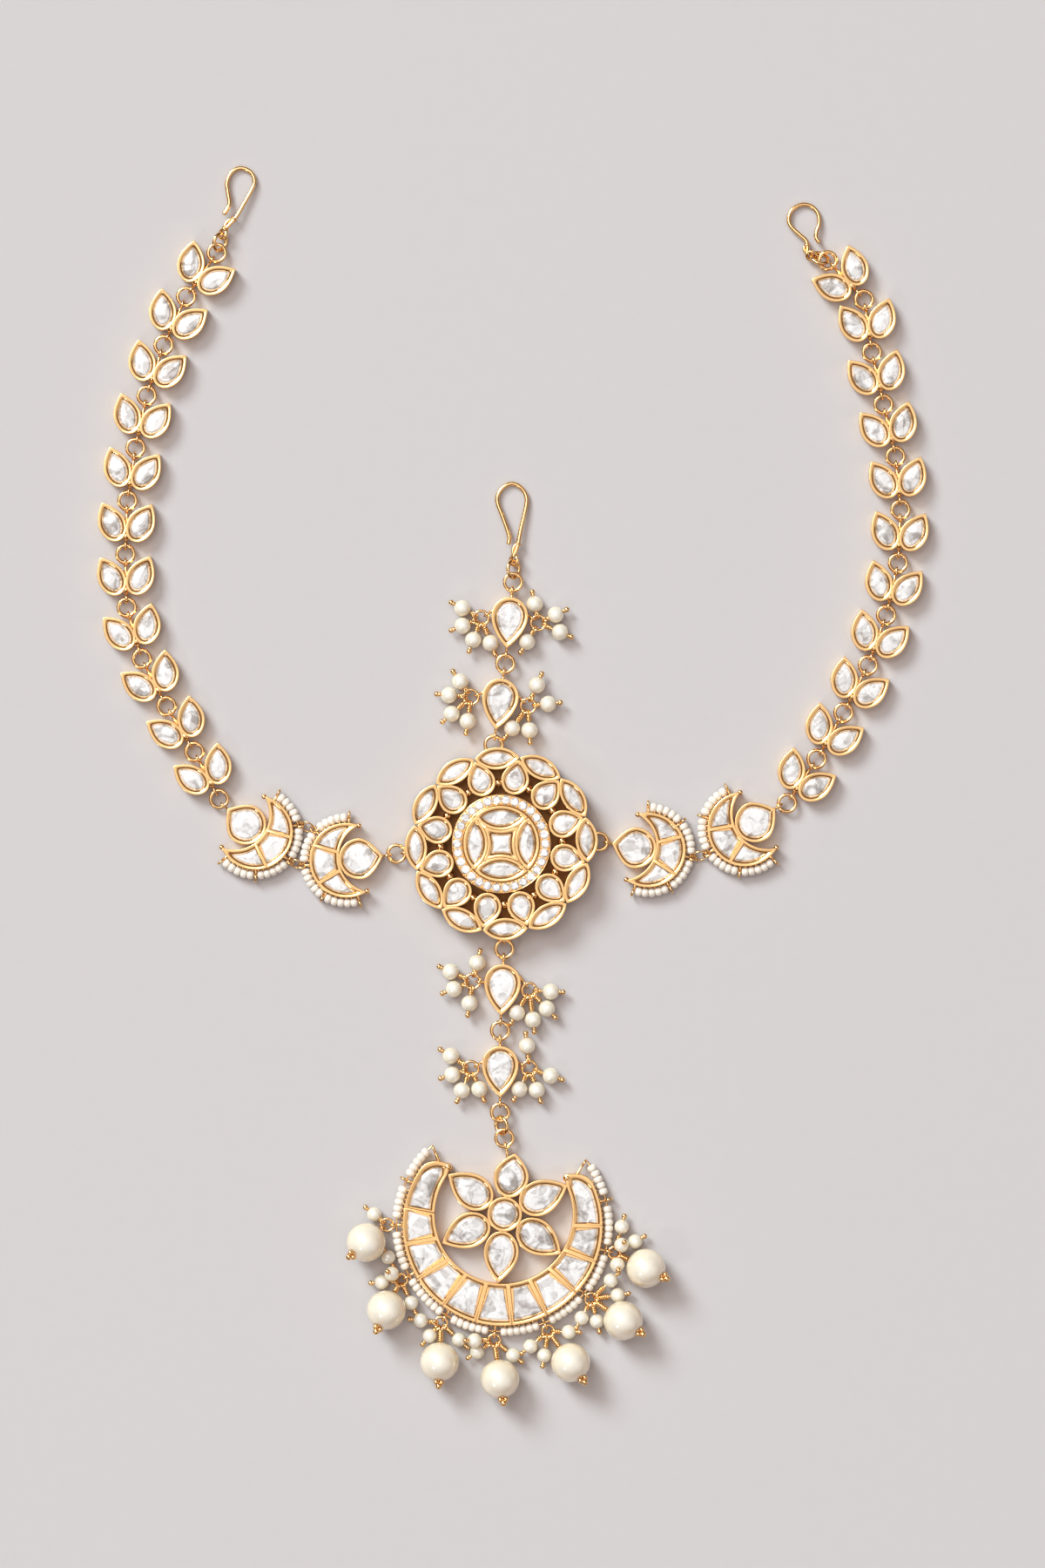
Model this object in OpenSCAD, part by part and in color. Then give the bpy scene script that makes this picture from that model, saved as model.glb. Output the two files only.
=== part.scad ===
/* [Wire] */
// Middle radius of a jump ring of the chains
ring_r = 1.75; // [1.7:0.05:1.85]
// Wire radius of a jump ring
ring_wire = 0.35; // [0.3:0.01:0.36]
// Radius of the hole in a chain eye
eye_hole = 0.52; // [0.5:0.01:0.55]
// Wire radius of a chain eye
eye_wire = 0.25; // [0.2:0.01:0.25]
// Radius of the hole in a small eye
small_hole = 0.4; // [0.38:0.01:0.42]
// Distance between the middles of two rings linked to each other
ring_step = 2.65; // [2.5:0.05:2.7]
// How far every second ring of a linked pair leans
ring_lean = 50; // [45:1:55]

/* [Side chains] */
// Distance between the rings at the two ends of a leaf link
leaf_pitch = 10.9; // [10.9:0.05:11]
// Height of a leaf cup
leaf_h = 2.8; // [2.7:0.1:3]
// Half of the width of one leaf
leaf_half = 2.8; // [2.7:0.05:2.85]
// Length from the widest place of a leaf to its tip
leaf_tip = 4.9; // [4.7:0.1:5]
// Length from the widest place of a leaf to its round end
leaf_round = 3.7; // [3.6:0.1:3.8]
// How far each leaf leans outwards
leaf_lean = 27; // [25:1:28]

/* [Fans] */
// Outer radius of a small crescent
fan_r = 7.65; // [7.6:0.05:7.7]
// Height of a fan
fan_h = 2.8; // [2.7:0.1:3]
// Distance of the five edge eyes from the middle of the crescent
fan_eye_r = 9.3; // [9.3:0.05:9.4]

/* [Medallion] */
// Distance of the marquise cups from the middle
marquise_r = 17.4; // [17.35:0.05:17.5]
// Height of the cups above the surface that the piece lies on
cup_top = 5.2; // [5:0.1:5.4]
// Height of the raised middle
drum_top = 5.4; // [5.3:0.1:5.6]
// Outer radius of the raised middle
drum_r = 7.74; // [7.7:0.02:7.76]

/* [Centre chain] */
// Distance between the rings at the two ends of a teardrop link
drop_pitch = 16.7; // [16.7:0.05:16.8]
// Height of a teardrop link
drop_h = 3.2; // [3.1:0.1:3.4]
// Half of the width of a teardrop link
drop_half = 3.74; // [3.7:0.02:3.76]

/* [Pendant] */
// Outer radius of the crescent
pendant_r = 20.4; // [20.35:0.05:20.4]
// Inner radius of the crescent
pendant_inner_r = 14.06; // [14:0.02:14.1]
// Height of the crescent
pendant_h = 3; // [2.9:0.1:3.2]
// Distance of the edge eyes from the middle of the crescent
pendant_eye_r = 22.3; // [22.3:0.05:22.4]

/* [Pearls] */
// Diameter of the hanging pearls of the pendant
big_pearl_d = 8; // [7.8:0.1:8]
// Diameter of the small pearls of the pendant
small_pearl_d = 3; // [2.8:0.1:3]
// Diameter of the pearls beside the centre chain
cluster_pearl_d = 3.4; // [3.2:0.1:3.4]
// Diameter of a seed bead
seed_d = 1.85; // [1.75:0.05:1.85]

/* [Hooks] */
// Wire radius of the three hooks
hook_wire = 0.45; // [0.4:0.01:0.46]

/* [Hidden] */
$fn = 48;

// Colours
gold = "goldenrod";
glass = "lavender";
pearl = "seashell";

// Heights of the middle plane of each chain above the surface
arm_z = leaf_h / 2;
centre_z = cluster_pearl_d / 2;
pendant_z = small_pearl_d / 2;
lean_z = ring_r * sin(ring_lean) + ring_wire + 0.02;

// Walls and fits
cup_wall = 0.45;
cup_step = 0.9;
ledge_w = 0.55;
stone_fit = 0.12;
stone_floor = 1.2;
stone_top = 1.95;
peg_r = 0.3;
overlap = 0.3;
pin_wire = 0.13;
pin_loop = 0.42;
pin_ball = 0.6;
bore_fit = 0.1;
thread_r = 0.15;
thread_end = 0.12;
fan_bead_space = 0.03;
pendant_bead_space = 0.06;
chain_eye_r = eye_hole + eye_wire;
small_eye_r = small_hole + eye_wire;

// Direction helpers, angles in degrees from +X
function dir(a) = [cos(a), sin(a)];
function heading(a) = atan2(a.y, a.x);
function down(turn) = [sin(turn), -cos(turn)];

// Outline of a leaf or teardrop with its tip on +Y and its widest place on the X axis
tip_power = 1.9;
tip_steps = 7;
round_steps = 12;
function tip_width(half, t) = half * (1 - pow(t, tip_power));
function ovate(tip, round_len, half) = concat(
    [for (i = [tip_steps:-1:1]) [tip_width(half, i / tip_steps), tip * i / tip_steps]],
    [for (i = [0:round_steps])
        [half * cos(180 * i / round_steps), -round_len * sin(180 * i / round_steps)]],
    [for (i = [1:tip_steps - 1]) [-tip_width(half, i / tip_steps), tip * i / tip_steps]]
);
function tip_cut(tip, half) = 1 / sin(atan(tip_power * half / tip));
function inset_ovate(tip, round_len, half, inset) =
    ovate(tip - inset * tip_cut(tip, half), round_len - inset, half - inset);

// Outline of a marquise, long way on +Y, from two equal arcs
marquise_steps = 8;
function marquise(long_half, short_half) =
    let (r = (long_half * long_half + short_half * short_half) / (2 * short_half),
        reach = asin(long_half / r))
    concat(
        [for (i = [-marquise_steps:marquise_steps])
            [r * cos(reach * i / marquise_steps) - (r - short_half),
                r * sin(reach * i / marquise_steps)]],
        [for (i = [marquise_steps - 1:-1:1 - marquise_steps])
            [(r - short_half) - r * cos(reach * i / marquise_steps),
                r * sin(reach * i / marquise_steps)]]
    );

module prism(outline, low, high) {
    translate([0, 0, low])
        linear_extrude(high - low)
            polygon(outline);
}

// Room for a stone: a wide step near the rim and a narrower seat below it
module pocket(tip, round_len, half, floor_z, step_z, rim_z) {
    prism(inset_ovate(tip, round_len, half, cup_wall), step_z, rim_z + 1);
    prism(inset_ovate(tip, round_len, half, cup_wall + ledge_w), floor_z, step_z + 1);
}

module pocket_stone(tip, round_len, half, floor_z, top_z) {
    prism(inset_ovate(tip, round_len, half, cup_wall + ledge_w + stone_fit), floor_z, top_z);
}

module ring(r, wire) {
    rotate_extrude()
        translate([r, 0])
            circle(wire, $fn = 24);
}

// A ring at a place, leaning about the direction of its chain
module placed_ring(at, z, r, wire, along = 0, lean = 0) {
    translate([at.x, at.y, z])
        rotate(along)
            rotate([lean, 0, 0])
                ring(r, wire);
}

// An upright eye at the origin whose plane holds the X axis
module eye(r, wire) {
    rotate([90, 0, 0])
        ring(r, wire);
}

// A peg along X from one place to another
module peg(from, to, r) {
    translate([from, 0, 0])
        rotate([0, 90, 0])
            cylinder(h = to - from, r = r, $fn = 24);
}

// A small eye turned towards what it holds, with a peg back to a wall a given depth behind it
module eye_on_peg(turn, depth, lean = 0) {
    rotate(turn) {
        rotate([lean, 0, 0])
            eye(small_eye_r, eye_wire);
        peg(-depth / cos(turn), -small_eye_r, eye_wire + 0.02);
    }
}

// Side chains: how far each link turns from straight down, top to bottom
left_turns = [-35, -25, -18.5, -12, -8.7, -2.1, 1.4, 16.2, 27.6, 31.5, 27.6];
right_turns = [43, 8.4, 12.5, 13.1, 5.4, -2.7, -12.8, -19.9, -27.3, -30.2, -33.7];
links = len(left_turns);
function chain_ring(last, turns, k) =
    k >= len(turns) ? last : chain_ring(last, turns, k + 1) - leaf_pitch * down(turns[k]);

// Fans: middle of the crescent, direction from the cup's tip to the crescent, turns of the eyes
fan_cup_back = 2.74;
fan_cup_tip = 4.7;
fan_cup_round = 4.4;
fan_cup_half = 4.2;
fan_inner_r = 7.12;
fan_inner_back = 5.6;
fan_tip_eye_r = 8.42;
fan_eye_angles = [-100, -50, 0, 50, 100];
fan_bead_count = 5;
fan_bead_r = 8.7;
bead_gap = 0.42;
tie_gap = 0.75;
tie_lean = 50;
tie_eye_lean = 45;
// How far each edge eye leans, for the rings that tie two fans together
left_outer_leans = [0, 0, tie_eye_lean, tie_eye_lean, 0];
left_inner_leans = [0, -tie_eye_lean, -tie_eye_lean, 0, 0];
right_inner_leans = [0, 0, tie_eye_lean, 0, 0];
right_outer_leans = [0, 0, -tie_eye_lean, 0, 0];
left_outer = [-52.6, -9.17];
left_outer_axis = -40;
left_inner = [-34, -14.86];
left_inner_axis = 187;
right_outer = [47.2, -8.46];
right_outer_axis = 213.4;
right_inner_axis = -10;

function fan_eye(at, axis, k) = at + fan_eye_r * dir(axis + fan_eye_angles[k]);
function fan_tip(at, axis) = at - fan_tip_eye_r * dir(axis);

// Medallion
medallion_at = [-2.46, -11.46];
petals = 12;
petal_step = 360 / petals;
marquise_turn = 2.7;
marquise_long = 4.65;
marquise_short = 2.3;
teardrop_turn = marquise_turn + petal_step / 2;
teardrop_r = 13.25;
teardrop_tip = 4.3;
teardrop_round = 3;
teardrop_half = 2.85;
plate_h = 0.9;
base_r = 17.5;
base_wall = 2.5;
cup_low = 2.3;
pave_inner_r = drum_r + 0.1;
pave_outer_r = 10.1;
pave_top = 4.9;
lens_r = 7.3;
lens_cut_r = 6.63;
lens_away = 9.36;
lens_wall = 0.4;
medallion_ring_reach = [19.95, 20.25, 21.5, 21.48];
medallion_ring_angle = [1.2, 94.4, 185.5, 271.6];
medallion_ring_z = [arm_z, centre_z, arm_z, centre_z];
function medallion_ring(k) = medallion_at + medallion_ring_reach[k] * dir(medallion_ring_angle[k]);

right_tip_turn = -8;
left_inner_tip_turn = 5.5;
right_inner = medallion_ring(0) + ring_r * dir(right_tip_turn) + fan_tip_eye_r * dir(right_inner_axis);

// Rings between the fans and the side chains
left_tip_turn = 126;
right_end_turn = 20;
left_last = fan_tip(left_outer, left_outer_axis) + ring_r * dir(left_tip_turn);
right_last = fan_tip(right_outer, right_outer_axis) + ring_r * dir(right_end_turn);
left_first = chain_ring(left_last, left_turns, 0);
right_first = chain_ring(right_last, right_turns, 0);

// Tie rings: pairs of eyes that they join
tie_wire = 0.18;
left_ties = [
    [fan_eye(left_outer, left_outer_axis, 3), fan_eye(left_inner, left_inner_axis, 1)],
    [fan_eye(left_outer, left_outer_axis, 2), fan_eye(left_inner, left_inner_axis, 2)]
];
right_ties = [[fan_eye(right_inner, right_inner_axis, 2), fan_eye(right_outer, right_outer_axis, 2)]];

// Centre chain: directions of the links, upwards from the medallion and downwards from it
drop_tip = 6.6;
drop_round = 3.9;
drop_belly = ring_r + 1.35 + drop_tip;
drop_eye_side = 4.64;
drop_turns = [84.5, 81.9, 87.1, 90];
top_ring = medallion_ring(1);
bottom_ring = medallion_ring(3);
middle_ring = top_ring + drop_pitch * dir(drop_turns[1]);
hook_ring_1 = middle_ring + drop_pitch * dir(drop_turns[0]);
hook_ring_way = 87.8;
hook_ring_2 = hook_ring_1 + ring_step * dir(hook_ring_way);
lower_ring = bottom_ring - drop_pitch * dir(drop_turns[2]);
pendant_ring_1 = lower_ring - drop_pitch * dir(drop_turns[3]);
pendant_ring_ways = [-84, -77];
pendant_ring_2 = pendant_ring_1 + ring_step * dir(pendant_ring_ways[0]);
pendant_ring_3 = pendant_ring_2 + ring_step * dir(pendant_ring_ways[1]);
drop_low = [middle_ring, top_ring, lower_ring, pendant_ring_1];
drops = len(drop_low);

// Clusters: directions of the ring of each side eye, left and right of each drop
cluster_ring_r = 1.5;
cluster_ring_wire = 0.25;
cluster_turns = [[214, -36], [201, -44], [175, -56], [210, -28]];
// Pearls of each cluster: direction and reach from the middle of its ring
cluster_table = [
    [[[152, 4.35], [202, 4.05], [250, 4.65], [291, 5.4]], [[101, 3.9], [25, 3.9], [337, 4.8], [239, 4.5]]],
    [[[125, 3.9], [175, 4.5], [221, 5.2], [262, 4.95]], [[67, 4.6], [6, 4.1], [234, 5.6], [273, 4.95]]],
    [[[76, 3.9], [156, 4.9], [202, 4.1], [262, 4.5]], [[357, 4.4], [314, 5.15], [277, 6], [241, 5.2]]],
    [[[148, 4.9], [198, 4], [247, 4.8], [292, 4.5]], [[96, 4.65], [341, 4.6], [289, 4.65], [244, 4.7]]]
];
function drop_point(k, p) = drop_low[k] + p.y * dir(drop_turns[k]) + p.x * dir(drop_turns[k] - 90);
function side_eye(k, side) = drop_point(k, [(side * 2 - 1) * drop_eye_side, drop_belly]);
function cluster_ring(k, side) = side_eye(k, side) + cluster_ring_r * dir(cluster_turns[k][side]);

// Pendant
pendant_at = [-2.2, -89.36];
pendant_turn = -5.25;
inner_up = 2.24;
horn_cut = 11.8;
horn_wall = 0.55;
bars = 10;
bar_step = 21.2;
bar_w = 0.55;
flower_at = [0.2, 2.4];
flower_cup_r = 3.56;
petal_count = 6;
petal_inner = 3.45;
petal_round = 4.3;
petal_half = 3.575;
petal_reach = 14.1;
top_petal_reach = 12.6;
top_petal_turn = 4.75;
flower_h = 3.2;
pendant_eyes = [47.3, 70, 95, 123.5, 153, 181, 208.5, 235.5, 261.5, 289, 312.7];
end_eye_r = 20.95;
end_eye_turn = 20;
end_eye_depth = 2.45;
pendant_bead_r = 21.65;
bead_pitch = 1.32;
hang_gap = 0.88;
hang_ring_r = 1.25;
hang_wire = 0.22;
// Hanging pearls: number of the eye, direction and reach from the middle of its ring
big_table = [[2, 218.8, 5.45], [3, 243.8, 6.6], [4, 268, 7.7], [5, 279, 7.75], [6, 306.8, 7.65],
    [7, 327.2, 7.7], [8, 335, 7]];
// Small pearls of each hanging group: direction, reach from the middle of its ring, height
small_table = [
    [[141, 3.45, 1.5]],
    [[119, 5.3, 1.5], [142, 2.3, 3.5], [186, 3.95, 1.5], [294, 5.1, 1.5]],
    [[173, 4.2, 1.5], [229, 3.5, 1.5], [317, 5, 1.5]],
    [[177.5, 3.95, 3.4], [214, 4.15, 1.5], [322, 4.9, 1.5]],
    [[220, 4.7, 1.5], [261, 4.95, 1.5], [359, 4.2, 1.8]],
    [[242.5, 4.3, 1.5], [284, 4.65, 1.5], [44, 5.5, 1.5], [8.5, 5.45, 1.5]],
    [[75, 5.5, 1.5], [29, 4.75, 1.5], [52, 2.2, 3.5], [283, 2.3, 3.5]]
];
last_eye = len(pendant_eyes) - 1;
function is_end(k) = k == 0 || k == last_eye;
function eye_radius(k) = is_end(k) ? end_eye_r : pendant_eye_r;
function pendant_angle(k) = 90 + pendant_turn + pendant_eyes[k];
function hang_ring(i) = pendant_at + (pendant_eye_r + hang_ring_r) * dir(pendant_angle(big_table[i][0]));

// Hooks: points of the bent wire from the free end to the shank, from the middle of the eye
left_hook_wire = [[0.1, 4], [0.9, 5.1], [1.3, 6.4], [1, 8.5], [0.8, 10.6], [1.7, 12.7],
    [3.6, 13.6], [5.6, 12.8], [6.4, 10.9], [5.8, 9], [4.3, 6.3], [2.5, 3.2], [0.3, 0.85]];
centre_hook_wire = [[-1.1, 3.2], [-0.9, 4.7], [-2, 7.8], [-3, 10.8], [-3.5, 12.6], [-2.9, 14.3],
    [-1.6, 15.5], [-0.3, 15.9], [1.3, 15.2], [2.4, 13.5], [2.6, 12.3], [2, 9], [1.4, 6.1],
    [1, 3.6], [0.05, 0.9]];
right_hook_wire = [[1.7, 2.7], [1, 3.8], [1.1, 5.1], [1.6, 6.6], [1.5, 8.4], [0.7, 9.8],
    [-0.7, 10.6], [-2.4, 10.5], [-4, 9.4], [-4.6, 7.7], [-4.2, 6.2], [-2.5, 4.5], [-1, 3],
    [-0.75, 0.55]];
hook_eye_hole = 0.6;
hook_eye_wire = 0.35;
hook_sides = 8;
hook_smooth = 3;
sleeve_r = 0.8;
left_hook_way = 72;
left_hook_ring = left_first + 2.3 * dir(left_hook_way);
left_hook_eye = left_hook_ring + ring_r * dir(left_hook_way);
centre_hook_eye = hook_ring_2 + ring_r * dir(hook_ring_way);
right_hook_way = 165;
right_hook_ring = right_first + 1.7 * dir(right_hook_way);
right_hook_eye = right_hook_ring + ring_r * dir(right_hook_way);

// A smooth curve through points, the same way at its ends as in its first and last stretch
function point_at(points, i) = points[max(0, min(len(points) - 1, i))];
function blend_points(a, b, c, d, t) =
    0.5 * (2 * b + (c - a) * t + (2 * a - 5 * b + 4 * c - d) * t * t + (3 * b - a - 3 * c + d) * t * t * t);
function smooth_path(points, steps) = concat(
    [for (i = [0:len(points) - 2])
        for (s = [0:steps - 1])
            blend_points(point_at(points, i - 1), points[i],
                points[i + 1], point_at(points, i + 2), s / steps)],
    [points[len(points) - 1]]
);

// A round wire along a path that lies flat
module flat_wire(path, r, sides) {
    count = len(path);
    ring_points = [for (i = [0:count - 1])
        let (way = heading(path[min(i + 1, count - 1)] - path[max(i - 1, 0)]))
        for (j = [0:sides - 1])
            [path[i].x - r * cos(360 * j / sides) * sin(way),
                path[i].y + r * cos(360 * j / sides) * cos(way),
                r * sin(360 * j / sides)]];
    walls = [for (i = [0:count - 2])
        for (j = [0:sides - 1])
            let (next = (j + 1) % sides)
            [i * sides + j, (i + 1) * sides + j, (i + 1) * sides + next, i * sides + next]];
    ends = [
        [for (j = [0:sides - 1]) j],
        [for (j = [sides - 1:-1:0]) (count - 1) * sides + j]
    ];
    polyhedron(points = ring_points, faces = concat(walls, ends), convexity = 6);
}

// One seed bead, its hole along Y
module seed_bead(length) {
    half = length / 2;
    // Half outline of a bead: how far along it and how far out
    shape = [[-1, 0.62], [-0.55, 0.92], [0, 1], [0.55, 0.92], [1, 0.62]];
    rotate([-90, 0, 0])
        rotate_extrude($fn = 32)
            polygon(concat([[0, -half]], [for (s = shape) [s.y * seed_d / 2, s.x * half]], [[0, half]]));
}

// Beads on a thread along an arc about the origin, one solid of their outer form
module bead_arc(r, from, to, gap_from, gap_to, count, space) {
    degrees = 180 / PI / r;
    first = from + gap_from * degrees;
    last = to - gap_to * degrees;
    step = (last - first) / count;
    rotate_extrude(start = first - thread_end * degrees, angle = last - first + 2 * thread_end * degrees)
        translate([r, 0])
            circle(thread_r, $fn = 16);
    for (i = [0:count - 1])
        rotate(first + (i + 0.5) * step)
            translate([r, 0, 0])
                seed_bead(step / degrees - space);
}

// A head pin: its loop is round the ring's wire at the origin, its shank on +X, its ball past the pearl
module head_pin(reach, pearl_d, ball_r) {
    eye(pin_loop, pin_wire);
    peg(pin_loop, reach + pearl_d / 2 + ball_r, pin_wire);
    translate([reach + pearl_d / 2 + ball_r, 0, 0])
        sphere(ball_r, $fn = 24);
}

module bored_pearl(reach, pearl_d) {
    translate([reach, 0, 0])
        rotate([0, 90, 0])
            rotate_extrude()
                difference() {
                    circle(pearl_d / 2);
                    translate([-pearl_d, -pearl_d])
                        square([pearl_d + pin_wire + bore_fit, 2 * pearl_d]);
                }
}

// Puts children on a ring, facing out to a place at a reach and height from the ring's middle
module on_ring(at, ring_z, r, angle, reach, high) {
    rise = atan2(high - ring_z, reach - r);
    translate([at.x + r * cos(angle), at.y + r * sin(angle), ring_z])
        rotate([0, -rise, angle])
            children();
}
function pin_reach(ring_z, r, reach, high) = norm([reach - r, high - ring_z]);

module leaf_cup(side) {
    apart = 1.036;
    rise = 0.5;
    translate([side * leaf_half * apart, rise, 0])
        rotate(-side * leaf_lean)
            children();
}

module leaf_link() {
    difference() {
        for (side = [-1, 1])
            leaf_cup(side)
                prism(ovate(leaf_tip, leaf_round, leaf_half), 0, leaf_h);
        for (side = [-1, 1])
            leaf_cup(side)
                pocket(leaf_tip, leaf_round, leaf_half, stone_floor, leaf_h - cup_step, leaf_h);
    }
    eye_y = leaf_pitch / 2 - ring_r;
    for (end = [-1, 1])
        translate([0, end * eye_y, arm_z])
            rotate(-end * 90) {
                eye(chain_eye_r, eye_wire);
                peg(chain_eye_r, eye_y - 1.25, peg_r);
            }
}

module leaf_stones() {
    for (side = [-1, 1])
        leaf_cup(side)
            pocket_stone(leaf_tip, leaf_round, leaf_half, stone_floor + 0.05, stone_top);
}

// Puts children at one link of a side chain
module at_link(last, turns, k) {
    middle = (chain_ring(last, turns, k) + chain_ring(last, turns, k + 1)) / 2;
    translate([middle.x, middle.y, 0])
        rotate(turns[k])
            children();
}

module leaf_left(k) {
    color(gold)
        at_link(left_last, left_turns, k - 1)
            leaf_link();
}

module leaf_right(k) {
    color(gold)
        at_link(right_last, right_turns, k - 1)
            leaf_link();
}

module arm_stones(last, turns) {
    color(glass)
        for (k = [0:links - 1])
            at_link(last, turns, k)
                leaf_stones();
}

module fan_crescent(inset, low, high) {
    back = 3.4;
    difference() {
        translate([0, 0, low])
            cylinder(h = high - low, r = fan_r - inset);
        translate([-fan_inner_back, 0, low - 1])
            cylinder(h = high - low + 2, r = fan_inner_r + inset);
        translate([-2 * fan_r - back, -fan_r, low - 1])
            cube([2 * fan_r, 2 * fan_r, high - low + 2]);
    }
}

module fan_cells(inset, bar, low, high) {
    bar_turn = 23.5;
    difference() {
        fan_crescent(inset, low, high);
        for (side = [-1, 1])
            translate([-fan_cup_back, 0, low - 1])
                rotate(side * bar_turn)
                    translate([2, -bar / 2, 0])
                        cube([fan_r + 3, bar, high - low + 2]);
    }
}

module fan_cup() {
    translate([-fan_cup_back, 0, 0])
        rotate(90)
            children();
}

module fan(at, axis, tip_turn, leans) {
    cell_wall = 0.45;
    color(gold)
        translate([at.x, at.y, 0])
            rotate(axis) {
                difference() {
                    union() {
                        fan_crescent(0, 0, fan_h);
                        fan_cup()
                            prism(ovate(fan_cup_tip, fan_cup_round, fan_cup_half), 0, fan_h);
                    }
                    fan_cup()
                        pocket(fan_cup_tip, fan_cup_round, fan_cup_half,
                            stone_floor, fan_h - cup_step, fan_h);
                    fan_cells(cell_wall, cell_wall, stone_floor, fan_h + 1);
                }
                for (k = [0:len(fan_eye_angles) - 1])
                    rotate(fan_eye_angles[k])
                        translate([fan_eye_r, 0, arm_z])
                            eye_on_peg(0, fan_eye_r - fan_r + overlap, leans[k]);
                translate([-fan_tip_eye_r, 0, arm_z])
                    rotate(tip_turn - axis)
                        eye(chain_eye_r, eye_wire);
                translate([0, 0, arm_z])
                    peg(chain_eye_r - fan_tip_eye_r, overlap - fan_cup_back - fan_cup_tip, peg_r);
            }
}

module fan_stones(at, axis) {
    color(glass)
        translate([at.x, at.y, 0])
            rotate(axis) {
                fan_cup()
                    pocket_stone(fan_cup_tip, fan_cup_round, fan_cup_half, stone_floor + 0.05, stone_top);
                fan_cells(0.6, 0.75, stone_floor + 0.05, fan_h - 0.3);
            }
}

module stones_fans() {
    fan_stones(left_outer, left_outer_axis);
    fan_stones(left_inner, left_inner_axis);
    fan_stones(right_inner, right_inner_axis);
    fan_stones(right_outer, right_outer_axis);
}

module fan_left_outer() {
    fan(left_outer, left_outer_axis, left_tip_turn, left_outer_leans);
}

module fan_left_inner() {
    fan(left_inner, left_inner_axis, left_inner_tip_turn, left_inner_leans);
}

module fan_right_inner() {
    fan(right_inner, right_inner_axis, right_tip_turn, right_inner_leans);
}

module fan_right_outer() {
    fan(right_outer, right_outer_axis, right_end_turn, right_outer_leans);
}

// Beads between the eyes, further from an eye that holds a tie ring
module fan_beads(at, axis, leans) {
    translate([at.x, at.y, arm_z])
        rotate(axis)
            for (k = [0:len(fan_eye_angles) - 2])
                bead_arc(fan_bead_r, fan_eye_angles[k], fan_eye_angles[k + 1],
                    leans[k] == 0 ? bead_gap : tie_gap,
                    leans[k + 1] == 0 ? bead_gap : tie_gap, fan_bead_count, fan_bead_space);
}

module around_medallion(turn, reach) {
    for (k = [0:petals - 1])
        rotate(turn + petal_step * k)
            translate([reach, 0, 0])
                children();
}

module drum_cells(wall, low, high) {
    intersection() {
        translate([0, 0, low])
            cylinder(h = high - low, r = lens_r - wall);
        for (k = [0:3])
            rotate(90 * k)
                translate([lens_away, 0, low])
                    cylinder(h = high - low, r = lens_cut_r - wall);
    }
    difference() {
        translate([-3.2, -3.2, low])
            cube([6.4, 6.4, high - low]);
        for (k = [0:3])
            rotate(90 * k)
                translate([lens_away, 0, low - 1])
                    cylinder(h = high - low + 2, r = lens_cut_r + wall);
    }
}

module medallion() {
    cell_floor = 3.2;
    tip_wall = 0.95;
    support_r = 1.2;
    ball_r = 0.72;
    ball_reach = 12.4;
    color(gold)
        translate([medallion_at.x, medallion_at.y, 0]) {
            cylinder(h = plate_h, r = base_r);
            difference() {
                cylinder(h = cup_low + 0.2, r = base_r);
                translate([0, 0, plate_h - 0.1])
                    cylinder(h = cup_low + 1, r = base_r - base_wall);
            }
            difference() {
                union() {
                    around_medallion(marquise_turn, marquise_r)
                        prism(marquise(marquise_long, marquise_short), cup_low, cup_top);
                    around_medallion(teardrop_turn, teardrop_r)
                        rotate(-90)
                            prism(ovate(teardrop_tip, teardrop_round, teardrop_half),
                                cup_low, cup_top - 0.1);
                }
                around_medallion(marquise_turn, marquise_r) {
                    prism(marquise(marquise_long - tip_wall, marquise_short - cup_wall),
                        cell_floor + cup_step, cup_top + 1);
                    prism(marquise(marquise_long - 2 * tip_wall, marquise_short - 2 * cup_wall),
                        cell_floor, cup_top);
                }
                around_medallion(teardrop_turn, teardrop_r)
                    rotate(-90)
                        pocket(teardrop_tip, teardrop_round, teardrop_half,
                            cell_floor, cup_top - cup_step, cup_top);
            }
            around_medallion(teardrop_turn, teardrop_r)
                cylinder(h = cup_low + 0.3, r = support_r);
            around_medallion(marquise_turn, ball_reach)
                translate([0, 0, cup_top - 1])
                    rotate([90, 0, 0])
                        sphere(ball_r, $fn = 24);
            difference() {
                cylinder(h = drum_top, r = drum_r);
                drum_cells(lens_wall, cell_floor, drum_top + 1);
            }
            for (k = [0:3])
                rotate(medallion_ring_angle[k])
                    translate([0, 0, medallion_ring_z[k]]) {
                        eye_reach = medallion_ring_reach[k] - ring_r;
                        translate([eye_reach, 0, 0])
                            eye(chain_eye_r, eye_wire);
                        peg(base_r - overlap, max(base_r, eye_reach - chain_eye_r), peg_r);
                    }
        }
}

module pave_ring() {
    color(gold)
        translate([medallion_at.x, medallion_at.y, plate_h + 0.1])
            difference() {
                cylinder(h = pave_top - plate_h - 0.1, r = pave_outer_r);
                translate([0, 0, -1])
                    cylinder(h = pave_top + 2, r = pave_inner_r);
            }
}

module stones_medallion() {
    seat = 3.25;
    top = 4.5;
    color(glass)
        translate([medallion_at.x, medallion_at.y, 0]) {
            around_medallion(marquise_turn, marquise_r)
                prism(marquise(marquise_long - 2.15, marquise_short - 1.02), seat, top);
            around_medallion(teardrop_turn, teardrop_r)
                rotate(-90)
                    pocket_stone(teardrop_tip, teardrop_round, teardrop_half, seat, top - 0.2);
            drum_cells(lens_wall + stone_fit, seat, drum_top - 0.3);
        }
}

module at_drop(k) {
    translate([drop_low[k].x, drop_low[k].y, 0])
        rotate(drop_turns[k] - 90)
            children();
}

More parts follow.
